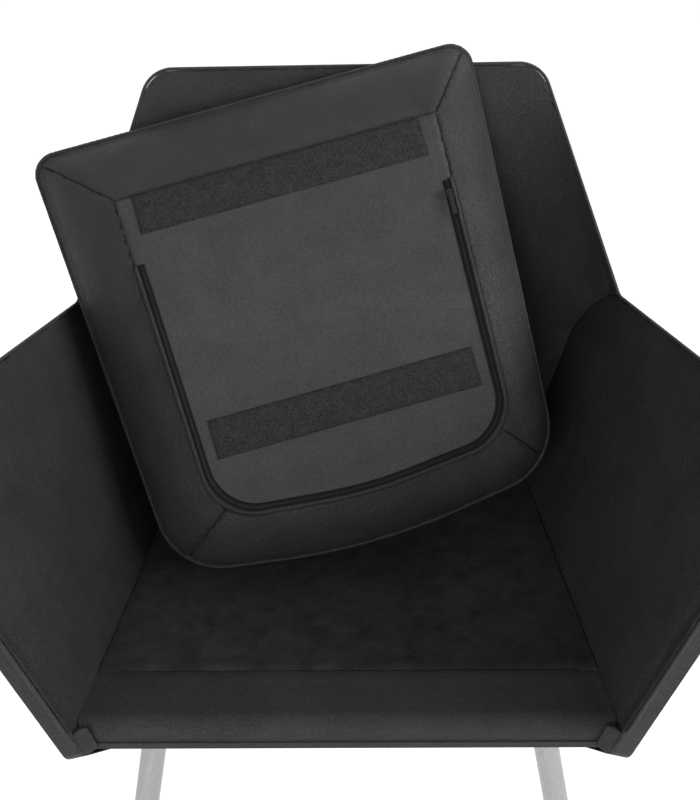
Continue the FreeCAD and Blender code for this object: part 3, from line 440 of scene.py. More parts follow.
def open_foam(name, dark, light):
    material, base = shader(name, 0.95, 0.1)
    cells = cell_map(object_point(base), 1.4, feature="F1")
    paint(base, cells, dark, light, 0.1, 0.7)
    bump(base, (cells, 0.8, 0.7))
    return material


MATERIALS = {
    "leather": grained_leather("black_grained_leather", (0.009, 0.009, 0.0093), (0.036, 0.036, 0.0366)),
    # The piping is the same black leather as the covers, painted lighter in colour: a painted highlight along
    # its round edge.
    "welt_leather": grained_leather("black_piping_leather_painted_highlight", grey(0.026), (0.052, 0.052, 0.053),
                                    roughness=0.4, grain_mm=0.8),
    "felt": needled_felt("black_needled_felt", grey(0.009), (0.058, 0.058, 0.057)),
    "base_fabric": woven_cloth("warm_grey_base_cloth", (0.024, 0.0237, 0.0225), (0.074, 0.0735, 0.07), 0.9),
    "hook_tape": hook_tape("dark_hook_tape", (0.007, 0.007, 0.0068), (0.062, 0.061, 0.059)),
    "zip_tape": woven_cloth("black_zip_tape", grey(0.006), grey(0.014), 0.35),
    "zip_teeth": moulded_plastic("black_nylon_teeth", grey(0.007), grey(0.016), 0.35, 0.3),
    "zip_metal": enamelled_metal("black_enamelled_slider", grey(0.01), grey(0.03), 0.5, 0.0, 0.2),
    "foam": open_foam("cream_upholstery_foam", (0.45, 0.38, 0.24), (0.72, 0.66, 0.48)),
    "plywood": sawn_wood("birch_plywood", (0.34, 0.21, 0.1), (0.6, 0.44, 0.26), (0.25, 1, 1)),
    "beech": sawn_wood("sawn_beech", (0.38, 0.2, 0.1), (0.62, 0.4, 0.23), (0.2, 0.2, 1)),
    "dust_cloth": woven_cloth("black_dust_cloth", grey(0.008), grey(0.02), 0.9, source="Object"),
    "leg_steel": brushed_tube("brushed_steel_tube", (0.45, 0.45, 0.44)),
    "plate_steel": enamelled_metal("black_plate_paint", grey(0.02), grey(0.05), 0.5, 0.2),
    "screw_steel": enamelled_metal("zinc_plated_screws", (0.42, 0.42, 0.43), grey(0.6), 0.35, 0.9),
    "glide_plastic": moulded_plastic("black_glide_plastic", grey(0.012), grey(0.022), 0.55),
    "thread": woven_cloth("black_sewing_thread", grey(0.006), grey(0.02), 0.25, 0.55, source="Object"),
}

record_slots = {entry["node"]: entry["material_slot"] for entry in frame["record"]["subparts"]}
for node_name, piece in nodes.items():
    piece.data.materials.clear()
    piece.data.materials.append(MATERIALS[record_slots[node_name]])


# Mesh helpers

def in_scene(name, data):
    thing = bpy.data.objects.new(name, data)
    bpy.context.scene.collection.objects.link(thing)
    return thing


def mesh_of(bm, name):
    mesh = bpy.data.meshes.new(name)
    bm.to_mesh(mesh)
    return mesh


def piece_from(bm, name, body, slot, replaced=(), smooth=True):
    """An object that rides on a body, has one material and stands for CAD nodes."""
    mesh = mesh_of(bm, name)
    bm.free()
    piece = in_scene(name, mesh)
    mesh.materials.clear()
    mesh.materials.append(MATERIALS[slot])
    for face in mesh.polygons:
        face.use_smooth = smooth
        face.material_index = 0
    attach(piece, body)
    if replaced:
        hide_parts(*replaced)
    return piece


def merged(names):
    """The CAD nodes' meshes as one, with doubled vertices merged."""
    bm = bmesh.new()
    for name in names:
        bm.from_mesh(nodes[name].data)
    bmesh.ops.remove_doubles(bm, verts=bm.verts, dist=0.01 * MM)
    return bm


def remeshed(names, voxel):
    """One even, closed skin round several CAD nodes."""
    bm = merged(names)
    form = in_scene("form", mesh_of(bm, "form"))
    bm.free()
    remesh = form.modifiers.new("remesh", "REMESH")
    remesh.mode = "VOXEL"
    remesh.voxel_size = voxel
    graph = bpy.context.evaluated_depsgraph_get()
    result = bpy.data.meshes.new_from_object(form.evaluated_get(graph))
    bpy.data.objects.remove(form)
    skin = bmesh.new()
    skin.from_mesh(result)
    return skin


def smoothed(bm, rounds, factor=0.5, loose=None):
    for _ in range(rounds):
        bmesh.ops.smooth_vert(bm, verts=bm.verts if loose is None else loose, factor=factor,
                              use_axis_x=True, use_axis_y=True, use_axis_z=True)
    return bm


def with_normals(bm):
    """Each vertex with its normal as it is before any of them moves."""
    bm.normal_update()
    return [(vertex, vertex.normal.copy()) for vertex in bm.verts]


def bridged(bm, rings):
    """Faces between rings of vertices, closed at both ends."""
    for one, two in zip(rings, rings[1:]):
        for step in range(len(one)):
            bm.faces.new((one[step - 1], one[step], two[step], two[step - 1]))
    bm.faces.new(rings[0])
    bm.faces.new(rings[-1][::-1])


def lay_uv(bm):
    """UV of a piece of cloth, in metres along the cushion's own axes."""
    layer = bm.loops.layers.uv.new("cloth")
    for face in bm.faces:
        for loop in face.loops:
            loop[layer].uv = loop.vert.co.xy


def only(bm, keep):
    """Drops the faces that keep doesn't accept."""
    bmesh.ops.delete(bm, geom=[face for face in bm.faces if not keep(face)], context="FACES")
    return bm


def thickened(piece, thickness):
    wall = piece.modifiers.new("thickness", "SOLIDIFY")
    wall.thickness = thickness
    wall.offset = -1
    wall.use_even_offset = False
    return piece


# Seams and panels

def main_part(bm):
    """Drops every loose part but the largest."""
    left = set(bm.faces)
    biggest = []
    while left:
        part = [left.pop()]
        for face in part:
            for edge in face.edges:
                for other in edge.link_faces:
                    if other in left:
                        left.discard(other)
                        part.append(other)
        biggest = max(biggest, part, key=len)
    kept = set(biggest)
    return only(bm, lambda face: face in kept)


def seam_where(bm, value):
    """Cuts a skin where a measure of place changes sign."""
    marks = {vertex: value(vertex.co) for vertex in bm.verts}
    made = []
    for edge in bm.edges[:]:
        first, second = edge.verts
        low, high = marks[first], marks[second]
        if low * high >= 0:
            continue
        share = min(0.97, max(0.03, low / (low - high)))
        made.append(bmesh.utils.edge_split(edge, first, share)[1])
    bmesh.ops.connect_verts(bm, verts=made)


def rise(value, start, end):
    """0 before start, 1 after end, smooth between."""
    share = min(1.0, max(0.0, (value - start) / (end - start)))
    return share * share * (3 - 2 * share)


def valley(away, width):
    """1 on a seam, 0 beyond its width."""
    return (1 - min(1.0, abs(away) / width) ** 2) ** 2


def fine_copy(node, longest, bevel, even_rounds):
    """A CAD node's mesh with rounded edges and no edge longer than asked."""
    bm = merged([node])
    bmesh.ops.dissolve_limit(bm, angle_limit=math.radians(0.4), verts=bm.verts, edges=bm.edges)
    if bevel:
        sharp = [edge for edge in bm.edges if edge.calc_face_angle(0) > ROUND_ANGLE]
        bmesh.ops.bevel(bm, geom=sharp, offset=bevel, offset_type="OFFSET", segments=2, profile=0.5,
                        affect="EDGES", clamp_overlap=True, material=-1)
    bmesh.ops.triangulate(bm, faces=bm.faces)
    for _ in range(9):
        long_edges = [edge for edge in bm.edges if edge.calc_length() > longest]
        if not long_edges:
            break
        bmesh.ops.subdivide_edges(bm, edges=long_edges, cuts=1)
        bmesh.ops.triangulate(bm, faces=[face for face in bm.faces if len(face.verts) > 3])
    bmesh.ops.dissolve_degenerate(bm, edges=bm.edges, dist=0.3 * MM)
    bent = [edge for edge in bm.edges if edge.calc_face_angle(0) > BEND_ANGLE]
    fixed = {vertex for edge in bent for vertex in edge.verts}
    loose = [vertex for vertex in bm.verts if vertex not in fixed]
    return smoothed(bm, even_rounds, loose=loose)


def leather_name(node):
    return node.replace("_cover", "") + "_leather"


def cover(node, longest, shift=None, bevel=EDGE_ROUND, even_rounds=4, slot="leather", name=None):
    """A cover in its CAD form, moved a little by a field of soft hollows."""
    bm = fine_copy(node, longest, bevel, even_rounds)
    if shift:
        for vertex in bm.verts:
            vertex.co += shift(vertex.co)
    piece = piece_from(bm, name or leather_name(node), "chair", slot, [node])
    piece.data.set_sharp_from_angle(angle=SHARP_ANGLE)


def foam_core(node, body, inset=1.2 * MM):
    """A foam block a little inside its covers."""
    skin = smoothed(main_part(remeshed([node], FOAM_VOXEL)), 2)
    for vertex, normal in with_normals(skin):
        vertex.co -= normal * inset
    core = piece_from(skin, node + "_block", body, "foam", [node])


def hollows(point, size, seed, stretch=(1, 1, 1)):
    """Smooth noise from 0 to 1."""
    at = Vector((point.x * stretch[0], point.y * stretch[1], point.z * stretch[2])) / size
    return 0.5 + 0.5 * noise.noise(at + Vector((seed, seed * 2, -seed)))


# Arms

def arm_softness(side):
    """Hollows in the arm's inner cover, with valleys along its front edge and rim."""
    rim_fall = (ARM_FRONT_RISE - ARM_REAR_RISE) / (ARM_REAR_REACH + ARM_FRONT_REACH)

    def shift(point):
        away = flipped(point, side) - ARM_CORNER
        u, v, w = away.dot(ALONG), away.dot(UP_ARM), away.dot(OFF_ARM)
        front = u + ARM_FOOT_REACH + ARM_FRONT_SLOPE * (v - FOOT_RISE)
        rim = ARM_FRONT_RISE - rim_fall * (u + ARM_FRONT_REACH) - v
        inside = rise(min(front, rim), 1 * MM, 14 * MM)
        hollow = 1.3 * MM * hollows(point, 95 * MM, 4 + side) * inside
        hollow += 0.5 * MM * hollows(point, 28 * MM, 11 + side) * inside
        hollow += 0.9 * MM * valley(front - 12 * MM, 10 * MM) + 0.7 * MM * valley(rim - 11 * MM, 9 * MM)
        share = 1 - min(1.0, max(0.0, (w - COVER) / (8 * MM)))
        return flipped(OFF_ARM, side) * (hollow * share)

    return shift


for arm, arm_side in SIDES:
    cover(f"{arm}_arm_inner_cover", 7 * MM, arm_softness(arm_side))
    cover(f"{arm}_arm_front_band", 5 * MM, even_rounds=0)
    cover(f"{arm}_arm_outer_cover", 9 * MM)
    foam_core(f"{arm}_arm_foam", "chair")
    cover(f"{arm}_corner_gusset", 2 * MM, even_rounds=0)


# Back

BACK_WING_START = 105 * MM
BACK_WING_WIDTH = 110 * MM
BACK_WING_TURN = math.radians(42)
ABOVE_ARMS = DECK_TOP + 240 * MM
TUCK_MIDDLE = Vector((295, 194, 588)) * MM
TUCK_OUTWARD = Vector((1, 1, 0.3)).normalized()
TUCK_RADIUS = 16.5 * MM
TUCK_REACH = 30 * MM


def back_softness(point):
    """Hollows behind the face, with upright creases where the back wraps round to the arms."""
    turn = BACK_WING_TURN * rise(abs(point.x), BACK_WING_START, BACK_WING_START + BACK_WING_WIDTH)
    rear = Vector((math.copysign(math.sin(turn), point.x), math.cos(turn), 0))
    near_rim = cad_high[2] - point.z
    inside = rise(near_rim, 6 * MM, 24 * MM)
    hollow = 1.6 * MM * hollows(point, 120 * MM, 5) * inside
    crease = hollows(point, 17 * MM, 12, (1, 1, 0.16)) * rise(abs(point.x), 130 * MM, 175 * MM)
    crease *= 1 - rise(point.z, ABOVE_ARMS - 10 * MM, ABOVE_ARMS + 120 * MM)
    hollow += 2.0 * MM * crease + 0.8 * MM * valley(near_rim - 16 * MM, 10 * MM)
    return rear * hollow


def corner_tuck(side_name, side):
    """Turned-in leather that closes the notch between the arm's and the back's outer covers."""
    inner = merged([f"{side_name}_arm_board", f"{side_name}_arm_foam", "back_foam"])
    surface = BVHTree.FromBMesh(inner)
    inner.free()
    outward = flipped(TUCK_OUTWARD, side)
    middle = flipped(TUCK_MIDDLE, side)
    across = outward.cross(UP).normalized()
    up = across.cross(outward)
    bm = bmesh.new()
    bmesh.ops.create_grid(bm, x_segments=16, y_segments=16, size=1)
    for vertex in bm.verts:
        x, y = vertex.co.x, vertex.co.y
        round_off = max(abs(x), abs(y)) / max(0.001, math.hypot(x, y))
        place = middle + (across * x + up * y) * (TUCK_RADIUS * round_off)
        found = surface.ray_cast(place + outward * TUCK_REACH, -outward, 2 * TUCK_REACH)[0]
        depth = 0.0 if found is None else (found - place).dot(outward)
        vertex.co = place + outward * (min(3 * MM, max(-5 * MM, depth)) + 0.5 * MM)
    smoothed(bm, 3)
    bmesh.ops.recalc_face_normals(bm, faces=bm.faces)
    thickened(piece_from(bm, f"{side_name}_back_corner_tuck", "chair", "leather"), 0.8 * MM)


cover("back_inner_cover", 7 * MM, back_softness, 0.0, 30)
cover("back_outer_cover", 10 * MM, None, 0.0, 12)
foam_core("back_foam", "chair")
for arm, arm_side in SIDES:
    corner_tuck(arm, arm_side)


# Seat deck

def half_between_arms(y, z):
    """From the middle to the arm's face at a place on the deck or under it."""
    return DECK_FRONT_WIDTH / 2 - ((y - DECK_FRONT) * OFF_ARM.y + (z - DECK_TOP) * OFF_ARM.z) / OFF_ARM.x


def deck_softness(point):
    """Hollows, a groove at the felt's sewn edge and puckers at the arms and the front seam."""
    behind = point.y - DECK_FRONT - STRIP_DEPTH
    inside = rise(behind, 4 * MM, 40 * MM) if behind > 0 else rise(-behind, 2 * MM, 20 * MM)
    hollow = 1.7 * MM * hollows(point, 70 * MM, 21) * inside + 1.1 * MM * valley(behind, 8 * MM)
    if behind >= 0:
        return Vector((0, 0, -hollow))
    to_arm = half_between_arms(point.y, point.z) - abs(point.x)
    pleat = hollows(point, 9 * MM, 31, (1, 0.25, 0.25)) * (1 - rise(to_arm, 4 * MM, 34 * MM))
    hollow = (hollow + 1.6 * MM * pleat) * rise(point.y, DECK_FRONT + 6 * MM, DECK_FRONT + 26 * MM)
    low = 1 - rise(point.z, FRONT_SEAM, FRONT_SEAM + 15 * MM)
    pucker = 0.9 * MM * hollows(point, 11 * MM, 37, (1, 0.2, 0.2)) * low
    return Vector((0, pucker + 0.8 * MM * valley(point.z - FRONT_SEAM, 5 * MM), -hollow))


def arc_points(middle, radius, start, end, steps):
    turns = [math.radians(start + (end - start) * step / steps) for step in range(steps + 1)]
    return [(middle[0] + radius * math.cos(turn), middle[1] + radius * math.sin(turn)) for turn in turns]


def across_deck(section, node, shift=None, columns=160):
    """A cover of one section, (y, z) from point to point, that runs from arm to arm."""
    bm = bmesh.new()
    rows = []
    for step in range(columns + 1):
        share = 2 * step / columns - 1
        places = [Vector((share * (half_between_arms(y, z) - 0.1 * MM), y, z)) for y, z in section]
        rows.append([bm.verts.new(place + shift(place) if shift else place) for place in places])
    bridged(bm, rows)
    bmesh.ops.recalc_face_normals(bm, faces=bm.faces)
    piece = piece_from(bm, leather_name(node), "chair", "leather", [node])
    piece.data.set_sharp_from_angle(angle=SHARP_ANGLE)


def strip_section():
    """The front strip: up the front, round the roll and back to the felt, and the same inside."""
    front = DECK_FRONT
    middle = (front + STRIP_ROLL, DECK_TOP - STRIP_ROLL)
    behind = [front + STRIP_ROLL + (STRIP_DEPTH - STRIP_ROLL) * step / 12 for step in range(1, 13)]
    outer = [(front, FRONT_SEAM)] + arc_points(middle, STRIP_ROLL, 180, 90, 9)
    outer += [(y, DECK_TOP) for y in behind]
    inner = [(y, DECK_TOP - FELT) for y in reversed(behind)]
    inner += arc_points(middle, STRIP_ROLL - FELT, 90, 180, 9) + [(front + FELT, FRONT_SEAM)]
    return outer + inner


def belly_section():
    """The front cover below the seam: down to the lip and back under the rail."""
    front = DECK_FRONT
    low = DECK_TOP - BASE_DEPTH
    lip = DECK_TOP - BELLY_LIP
    slope = [(front + BELLY_SETBACK * step / 10, lip + (low - lip) * step / 10) for step in range(11)]
    inner = [(front + BELLY_SETBACK + FELT, low + FELT), (front + FELT, lip + FELT / 2),
             (front + FELT, FRONT_SEAM)]
    return [(front, FRONT_SEAM - 0.4 * MM)] + slope + inner


cover("deck_felt", 6 * MM, deck_softness, slot="felt", name="deck_felt_cloth")
across_deck(strip_section(), "deck_front_strip", deck_softness)
foam_core("deck_foam", "chair", 3.4 * MM)
across_deck(belly_section(), "front_belly_cover")
cover("dust_cover", 12 * MM, bevel=0.0, slot="dust_cloth", name="dust_cover_cloth")


# Piping

# Both pipings take the welt leather, whose lighter colour is a painted highlight along the piping.
for node_name, name, body in (("rim_welt", "rim_piping", "chair"),
                              ("cushion_edge_seam", "cushion_edge_piping", "seat_cushion")):
    skin = smoothed(main_part(remeshed([node_name], PIPING_VOXEL)), 1, 0.4)
    piece_from(skin, name, body, "welt_leather", [node_name])


# Seat cushion

PANELS = {"top": "cushion_top_cover", "base": "cushion_base_panel",
          **{side: f"cushion_{side}_border" for side in ("front", "left", "rear", "right")}}


def depth_inside(corners, radii):
    """A measure of how far a point is inside a rounded outline, in metres."""
    lines = []
    arcs = []
    places = [Vector(corner) * MM for corner in corners]
    for index, radius in enumerate(radii):
        start, _, ahead, half, centre = corner_round(places, index, radius * MM)
        lines.append((start, Vector((-ahead.y, ahead.x))))
        arcs.append((centre, (start - centre).normalized(), math.sin(half), radius * MM))

    def depth(x, y):
        point = Vector((x, y))
        nearest = min((point - start).dot(normal) for start, normal in lines)
        for centre, outward, narrow, round_off in arcs:
            away = point - centre
            if away.dot(outward) > away.length * narrow:
                nearest = min(nearest, round_off - away.length)
        return nearest

    return depth


outer_depth = depth_inside(CUSHION_CORNERS, CUSHION_RADII)
panel_depth = depth_inside(PANEL_CORNERS, PANEL_RADII)


def mitre(outer, panel):
    """A measure that changes sign on the line from an outer to a panel corner."""
    start = Vector(outer) * MM
    run = (Vector(panel) * MM - start).normalized()
    return lambda point: run.x * (point.y - start.y) - run.y * (point.x - start.x)


front_left, front_right, rear_right, rear_left = [
    mitre(CUSHION_CORNERS[index], PANEL_CORNERS[index]) for index in (0, 1, 2, 4)]


def near_mitre(point):
    """Distance to the closest mitre seam of the border."""
    if point.y < BORDER_MIDDLE:
        return min(abs(front_left(point)), abs(front_right(point)))
    return min(abs(rear_right(point)), abs(rear_left(point)))


def border_side(point):
    """Which of the four mitred bands a point of the border belongs to."""
    side = "left" if point.x < 0 else "right"
    if point.y < BORDER_MIDDLE:
        return "front" if front_left(point) < 0 and front_right(point) > 0 else side
    return "rear" if rear_right(point) < 0 and rear_left(point) > 0 else side


CLOTH_SETTINGS = {"quality": 5, "mass": 0.3, "tension_stiffness": 18, "compression_stiffness": 18,
                  "shear_stiffness": 8, "bending_stiffness": 0.6, "use_pressure": True,
                  "vertex_group_mass": "held"}


def pumped_up(bm, held, frames, pressure, cap):
    """The skin swollen by pressure, with seams held and no point moved past the cap."""
    bm.verts.index_update()
    form = in_scene("swollen", mesh_of(bm, "swollen"))
    group = form.vertex_groups.new(name="held")
    for vertex in form.data.vertices:
        weight = held(vertex.co)
        if weight > 0:
            group.add([vertex.index], weight, "REPLACE")
    cloth = form.modifiers.new("cloth", "CLOTH")
    for key, value in CLOTH_SETTINGS.items():
        setattr(cloth.settings, key, value)
    cloth.settings.uniform_pressure_force = pressure
    cloth.settings.effector_weights.gravity = 0
    cloth.collision_settings.use_collision = False
    for step in range(1, frames + 1):
        bpy.context.scene.frame_set(step)
    graph = bpy.context.evaluated_depsgraph_get()
    result = form.evaluated_get(graph).to_mesh()
    moved = [point.co.copy() for point in result.vertices]
    form.evaluated_get(graph).to_mesh_clear()
    bpy.data.objects.remove(form)
    bpy.context.scene.frame_set(1)
    for vertex, place in zip(bm.verts, moved):
        step = place - vertex.co
        if step.length > cap:
            step = step.normalized() * cap
        vertex.co += step


def above_seam(point):
    return point.z - BORDER_HEIGHT


def on_base(point):
    return panel_depth(point.x, point.y) if point.z < 6 * MM else -1.0


def cushion_skin():
    """The stuffed cover in the cushion's own frame, before it is cut into panels."""
    names = ["cushion_foam", *PANELS.values()]
    hull = merged(names)
    hull.transform(TO_CUSHION)
    outside = BVHTree.FromBMesh(hull)
    hull.free()
    skin = main_part(remeshed(names, CUSHION_VOXEL))
    skin.transform(TO_CUSHION)
    smoothed(skin, 1)

    def restore():
        for vertex, normal in with_normals(skin):
            found = outside.ray_cast(vertex.co + normal * (6 * MM), -normal, 12 * MM)[0]
            if found is not None and (found - vertex.co).length < 2.6 * MM:
                vertex.co = found

    restore()
    smoothed(skin, 1, 0.35)
    restore()

    def free_share(point):
        """0 on the base panel and at the outer seam, 0.4 on a mitre, 1 well away from them."""
        if on_base(point) > BASE_EDGE:
            return 0.0
        seam = rise(abs(above_seam(point)), 2 * MM, 22 * MM)
        if point.z > BORDER_HEIGHT:
            return seam
        panel = rise(-panel_depth(point.x, point.y), 2 * MM, 22 * MM)
        return min(seam, panel, rise(near_mitre(point), 1 * MM, 16 * MM) * 0.6 + 0.4)

    def roundness(point):
        """How far the stuffing rounds the border out between its two seams."""
        outer = max(0.0, outer_depth(point.x, point.y))
        inner = max(0.0, -panel_depth(point.x, point.y))
        share = outer / (outer + inner + 0.1 * MM)
        low_side = 1 - rise(point.z, BORDER_HEIGHT - 6 * MM, BORDER_HEIGHT - 1 * MM)
        return math.sin(math.pi * share ** 0.8) ** 0.9 * low_side

    for vertex, normal in with_normals(skin):
        place = vertex.co
        if on_base(place) > BASE_EDGE:
            continue
        if place.z > BORDER_HEIGHT:
            vertex.co -= normal * (2.4 * MM * free_share(place))
        else:
            pinch = 1.6 * valley(near_mitre(place), 12 * MM)
            vertex.co += normal * ((5.5 - pinch) * roundness(place) * MM)
    pumped_up(skin, lambda point: 1 - free_share(point), frames=14, pressure=3.2, cap=3.4 * MM)

    def fold_share(point):
        """Where small folds run, square to the seams."""
        if point.z > BORDER_HEIGHT or on_base(point) > BASE_EDGE:
            return 0.0
        at_edge = 1 - rise(outer_depth(point.x, point.y), 6 * MM, 34 * MM)
        at_panel = 1 - rise(-panel_depth(point.x, point.y), 4 * MM, 26 * MM)
        return max(at_edge * 0.8, at_panel) * rise(abs(above_seam(point)), 2 * MM, 9 * MM)

    for vertex, normal in with_normals(skin):
        place = vertex.co
        share = fold_share(place)
        if share > 0:
            fold = hollows(place, 15 * MM, 41) ** 2 + 0.5 * hollows(place, 8 * MM, 44) ** 2
            vertex.co -= normal * (1.7 * MM * fold * share)
    return skin


def cushion():
    skin = cushion_skin()
    for measure in (above_seam, front_left, front_right, rear_left, rear_right, on_base):
        seam_where(skin, measure)
    for vertex, normal in with_normals(skin):
        place = vertex.co
        if abs(above_seam(place)) < 0.3 * MM:
            depth = outer_depth(place.x, place.y)
            slope_x = outer_depth(place.x + 1 * MM, place.y) - depth
            slope_y = outer_depth(place.x, place.y + 1 * MM) - depth
            vertex.co -= Vector((slope_x, slope_y, 0)).normalized() * (depth + 0.6 * MM)
        if place.z > BORDER_HEIGHT - 3 * MM:
            continue
        if abs(on_base(place)) < 0.2 * MM:
            vertex.co -= normal * (1.5 * MM)
        elif on_base(place) < 0 and near_mitre(place) < 0.2 * MM:
            vertex.co -= normal * (1.3 * MM)

    def part_of(face):
        centre = face.calc_center_median()
        if centre.z > BORDER_HEIGHT:
            return "top"
        return "base" if on_base(centre) > 0 else border_side(centre)

    skin.faces.index_update()
    groups = {face.index: part_of(face) for face in skin.faces}
    surface = BVHTree.FromBMesh(skin)
    for part, node in PANELS.items():
        panel = only(skin.copy(), lambda face: groups[face.index] == part)
        lay_uv(panel)
        panel.transform(CUSHION_MATRIX)
        name, slot = leather_name(node), "leather"
        if part == "base":
            name, slot = "cushion_base_cloth", "base_fabric"
        piece = thickened(piece_from(panel, name, "seat_cushion", slot, [node]), COVER)
    skin.free()
    foam_core("cushion_foam", "seat_cushion")
    return surface


cushion_surface = cushion()


# Hook strips

def cushion_piece(bm, name, slot, replaced, smooth=True):
    """A closed piece made in the cushion's own frame."""
    bmesh.ops.recalc_face_normals(bm, faces=bm.faces)
    lay_uv(bm)
    bm.transform(CUSHION_MATRIX)
    return piece_from(bm, name, "seat_cushion", slot, replaced, smooth)


def hook_strip(node, name, middle, half, y_front):
    """A puckered strip of hook tape with sewn edges, in the cushion's frame."""
    length = 2 * half * MM
    across, count = round(HOOK_WIDTH / HOOK_STEP), round(length / HOOK_STEP)

    def place(row, column):
        x = (middle - half) * MM + length * column / count
        y = y_front * MM + HOOK_WIDTH * row / across
        edge = min(HOOK_WIDTH * row / across, HOOK_WIDTH * (1 - row / across),
                   length * column / count, length * (1 - column / count))
        pillow = rise(edge, 0, 7 * MM)
        bulge = noise.noise(Vector((x, y * 0.35, middle * 0.1)) / (9 * MM))
        pucker = bulge * valley(edge - 6 * MM, 12 * MM)
        thick = HOOK_THICK * (0.45 + 0.5 * pillow) + 0.35 * MM * pucker * pillow
        return x, y, -max(0.3 * MM, thick)

    spots = [(row, column) for row in range(across + 1) for column in range(count + 1)]
    bm = bmesh.new()
    top = {spot: bm.verts.new(place(*spot)) for spot in spots}
    low = {spot: bm.verts.new((*place(*spot)[:2], -0.02 * MM)) for spot in spots}
    for row in range(across):
        for column in range(count):
            square = (row, column), (row + 1, column), (row + 1, column + 1), (row, column + 1)
            bm.faces.new([top[spot] for spot in square])
            bm.faces.new([low[spot] for spot in square])
    rim = [(0, column) for column in range(count)] + [(row, count) for row in range(across)]
    rim += [(across, column) for column in range(count, 0, -1)] + [(row, 0) for row in range(across, 0, -1)]
    for one, two in zip(rim, rim[1:] + rim[:1]):
        bm.faces.new((top[one], top[two], low[two], low[one]))
    cushion_piece(bm, name, "hook_tape", [node])


hook_strip("front_hook_strip", "front_hook_tape", *FRONT_STRIP)
hook_strip("rear_hook_strip", "rear_hook_tape", *REAR_STRIP)


# Zip

def flat_line(corners, spacing=2.0):
    """Even points of a closed line in the cushion's plane; corners and spacing in millimetres."""
    points = resampled([Vector(corner) for corner in corners], spacing, True)
    return [Vector((point.x * MM, point.y * MM, 0)) for point in points]


def panel_line(inset, spacing):
    """The zip's U at an inset from the panel's edge, from the right front round to the left."""
    points = flat_line(round_outline(PANEL_CORNERS, PANEL_RADII, inset), spacing)
    first = next(index for index, point in enumerate(points)
                 if point.x > 0 and point.y >= ZIP_FRONT * MM and points[index - 1].y < ZIP_FRONT * MM)
    turned = points[first:] + points[:first]
    last = next(index for index, point in enumerate(turned) if point.y < ZIP_FRONT * MM)
    return turned[:last]


def directions(line, index):
    """Along and outward at a point of a line in the cushion's plane."""
    ahead = (line[min(index + 1, len(line) - 1)] - line[max(index - 1, 0)]).normalized()
    return ahead, Vector((ahead.y, -ahead.x, 0))


def ribbon(name, line, profile, slot, replaced, ripple=0.0):
    """A closed strip with a cross-section of (outward, away from the panel) places, along a line."""
    bm = bmesh.new()
    rings = []
    for index, point in enumerate(line):
        outward = directions(line, index)[1]
        wave = ripple * noise.noise(point / (14 * MM))
        places = [(side * MM, -(lift + (wave if lift else 0)) * MM) for side, lift in profile]
        rings.append([bm.verts.new(point + outward * side + Vector((0, 0, height)))
                      for side, height in places])
    bridged(bm, rings)
    cushion_piece(bm, name, slot, replaced)


def zip_chain():
    tape_profile = [(-4, 0.02), (4, 0.02), (4, 0.55), (2.4, 0.8), (-2.4, 0.8), (-4, 0.55)]
    ribbon("zip_tape_cloth", panel_line(ZIP_INSET, 3), tape_profile, "zip_tape", ["zip_tape"])
    turns = [math.pi * step / 10 for step in range(11)]
    lip_profile = [(-2.1 * math.cos(turn), -0.6 + 3 * math.sin(turn) ** 0.6) for turn in turns]
    ribbon("zip_folded_lip", panel_line(1.4, 3), lip_profile, "leather", ["zip_lip"], 0.25)
    bm = bmesh.new()
    line = panel_line(ZIP_INSET, TOOTH_PITCH)
    for index in range(1, len(line) - 1):
        ahead, outward = directions(line, index)
        for side in (-1, 1):
            middle = line[index] + outward * (0.62 * MM * side) + ahead * (TOOTH_PITCH * MM * 0.25 * side)
            for vertex in bmesh.ops.create_cube(bm, size=1)["verts"]:
                x, y, z = vertex.co
                taper = 0.72 if z < 0 else 1.0
                vertex.co = (middle + outward * (x * 1.5 * MM * taper) + ahead * (y * 0.78 * MM * taper)
                             + Vector((0, 0, (-1.42 + z * 1.25) * MM)))
    chain = cushion_piece(bm, "zip_coil_teeth", "zip_teeth", ["zip_teeth"], smooth=False)
    round_off = chain.modifiers.new("round", "BEVEL")
    round_off.width = 0.16 * MM
    round_off.segments = 1


zip_chain()


# Sewing

def laid_on(points):
    """Points of the cushion's plane moved onto its underside, with the normals there."""
    hits = [cushion_surface.ray_cast(point - UP * (30 * MM), UP, 80 * MM)[:2] for point in points]
    return [hit for hit in hits if hit[0] is not None]


def sew(bm, placed, length=2.9, gap=1.3, radius=0.26):
    """Short threads end to end, each rounded and let into the surface at both ends."""
    line = [point for point, _ in placed]
    spots = resampled(line, (length + gap) * MM, False)
    nearest = 0
    for start, end in zip(spots, spots[1:]):
        middle = (start + end) / 2
        while (nearest < len(line) - 1
               and (line[nearest + 1] - middle).length < (line[nearest] - middle).length):
            nearest += 1
        ahead = (end - start).normalized()
        normal = placed[nearest][1]
        up = (normal - ahead * normal.dot(ahead)).normalized()
        side = ahead.cross(up)
        rings = []
        for share, swell, lift in ((-0.5, 0.5, -0.5), (-0.3, 1.0, 0.25), (0.3, 1.0, 0.25), (0.5, 0.5, -0.5)):
            centre = middle + ahead * (length * MM * share) + up * (radius * MM * lift)
            turns = [math.tau * step / 5 for step in range(5)]
            spokes = [side * math.cos(turn) + up * math.sin(turn) for turn in turns]
            rings.append([bm.verts.new(centre + spoke * (radius * MM * swell)) for spoke in spokes])
        bridged(bm, rings)


def thread_piece(bm, name, body):
    bmesh.ops.recalc_face_normals(bm, faces=bm.faces)
    piece_from(bm, name, body, "thread")


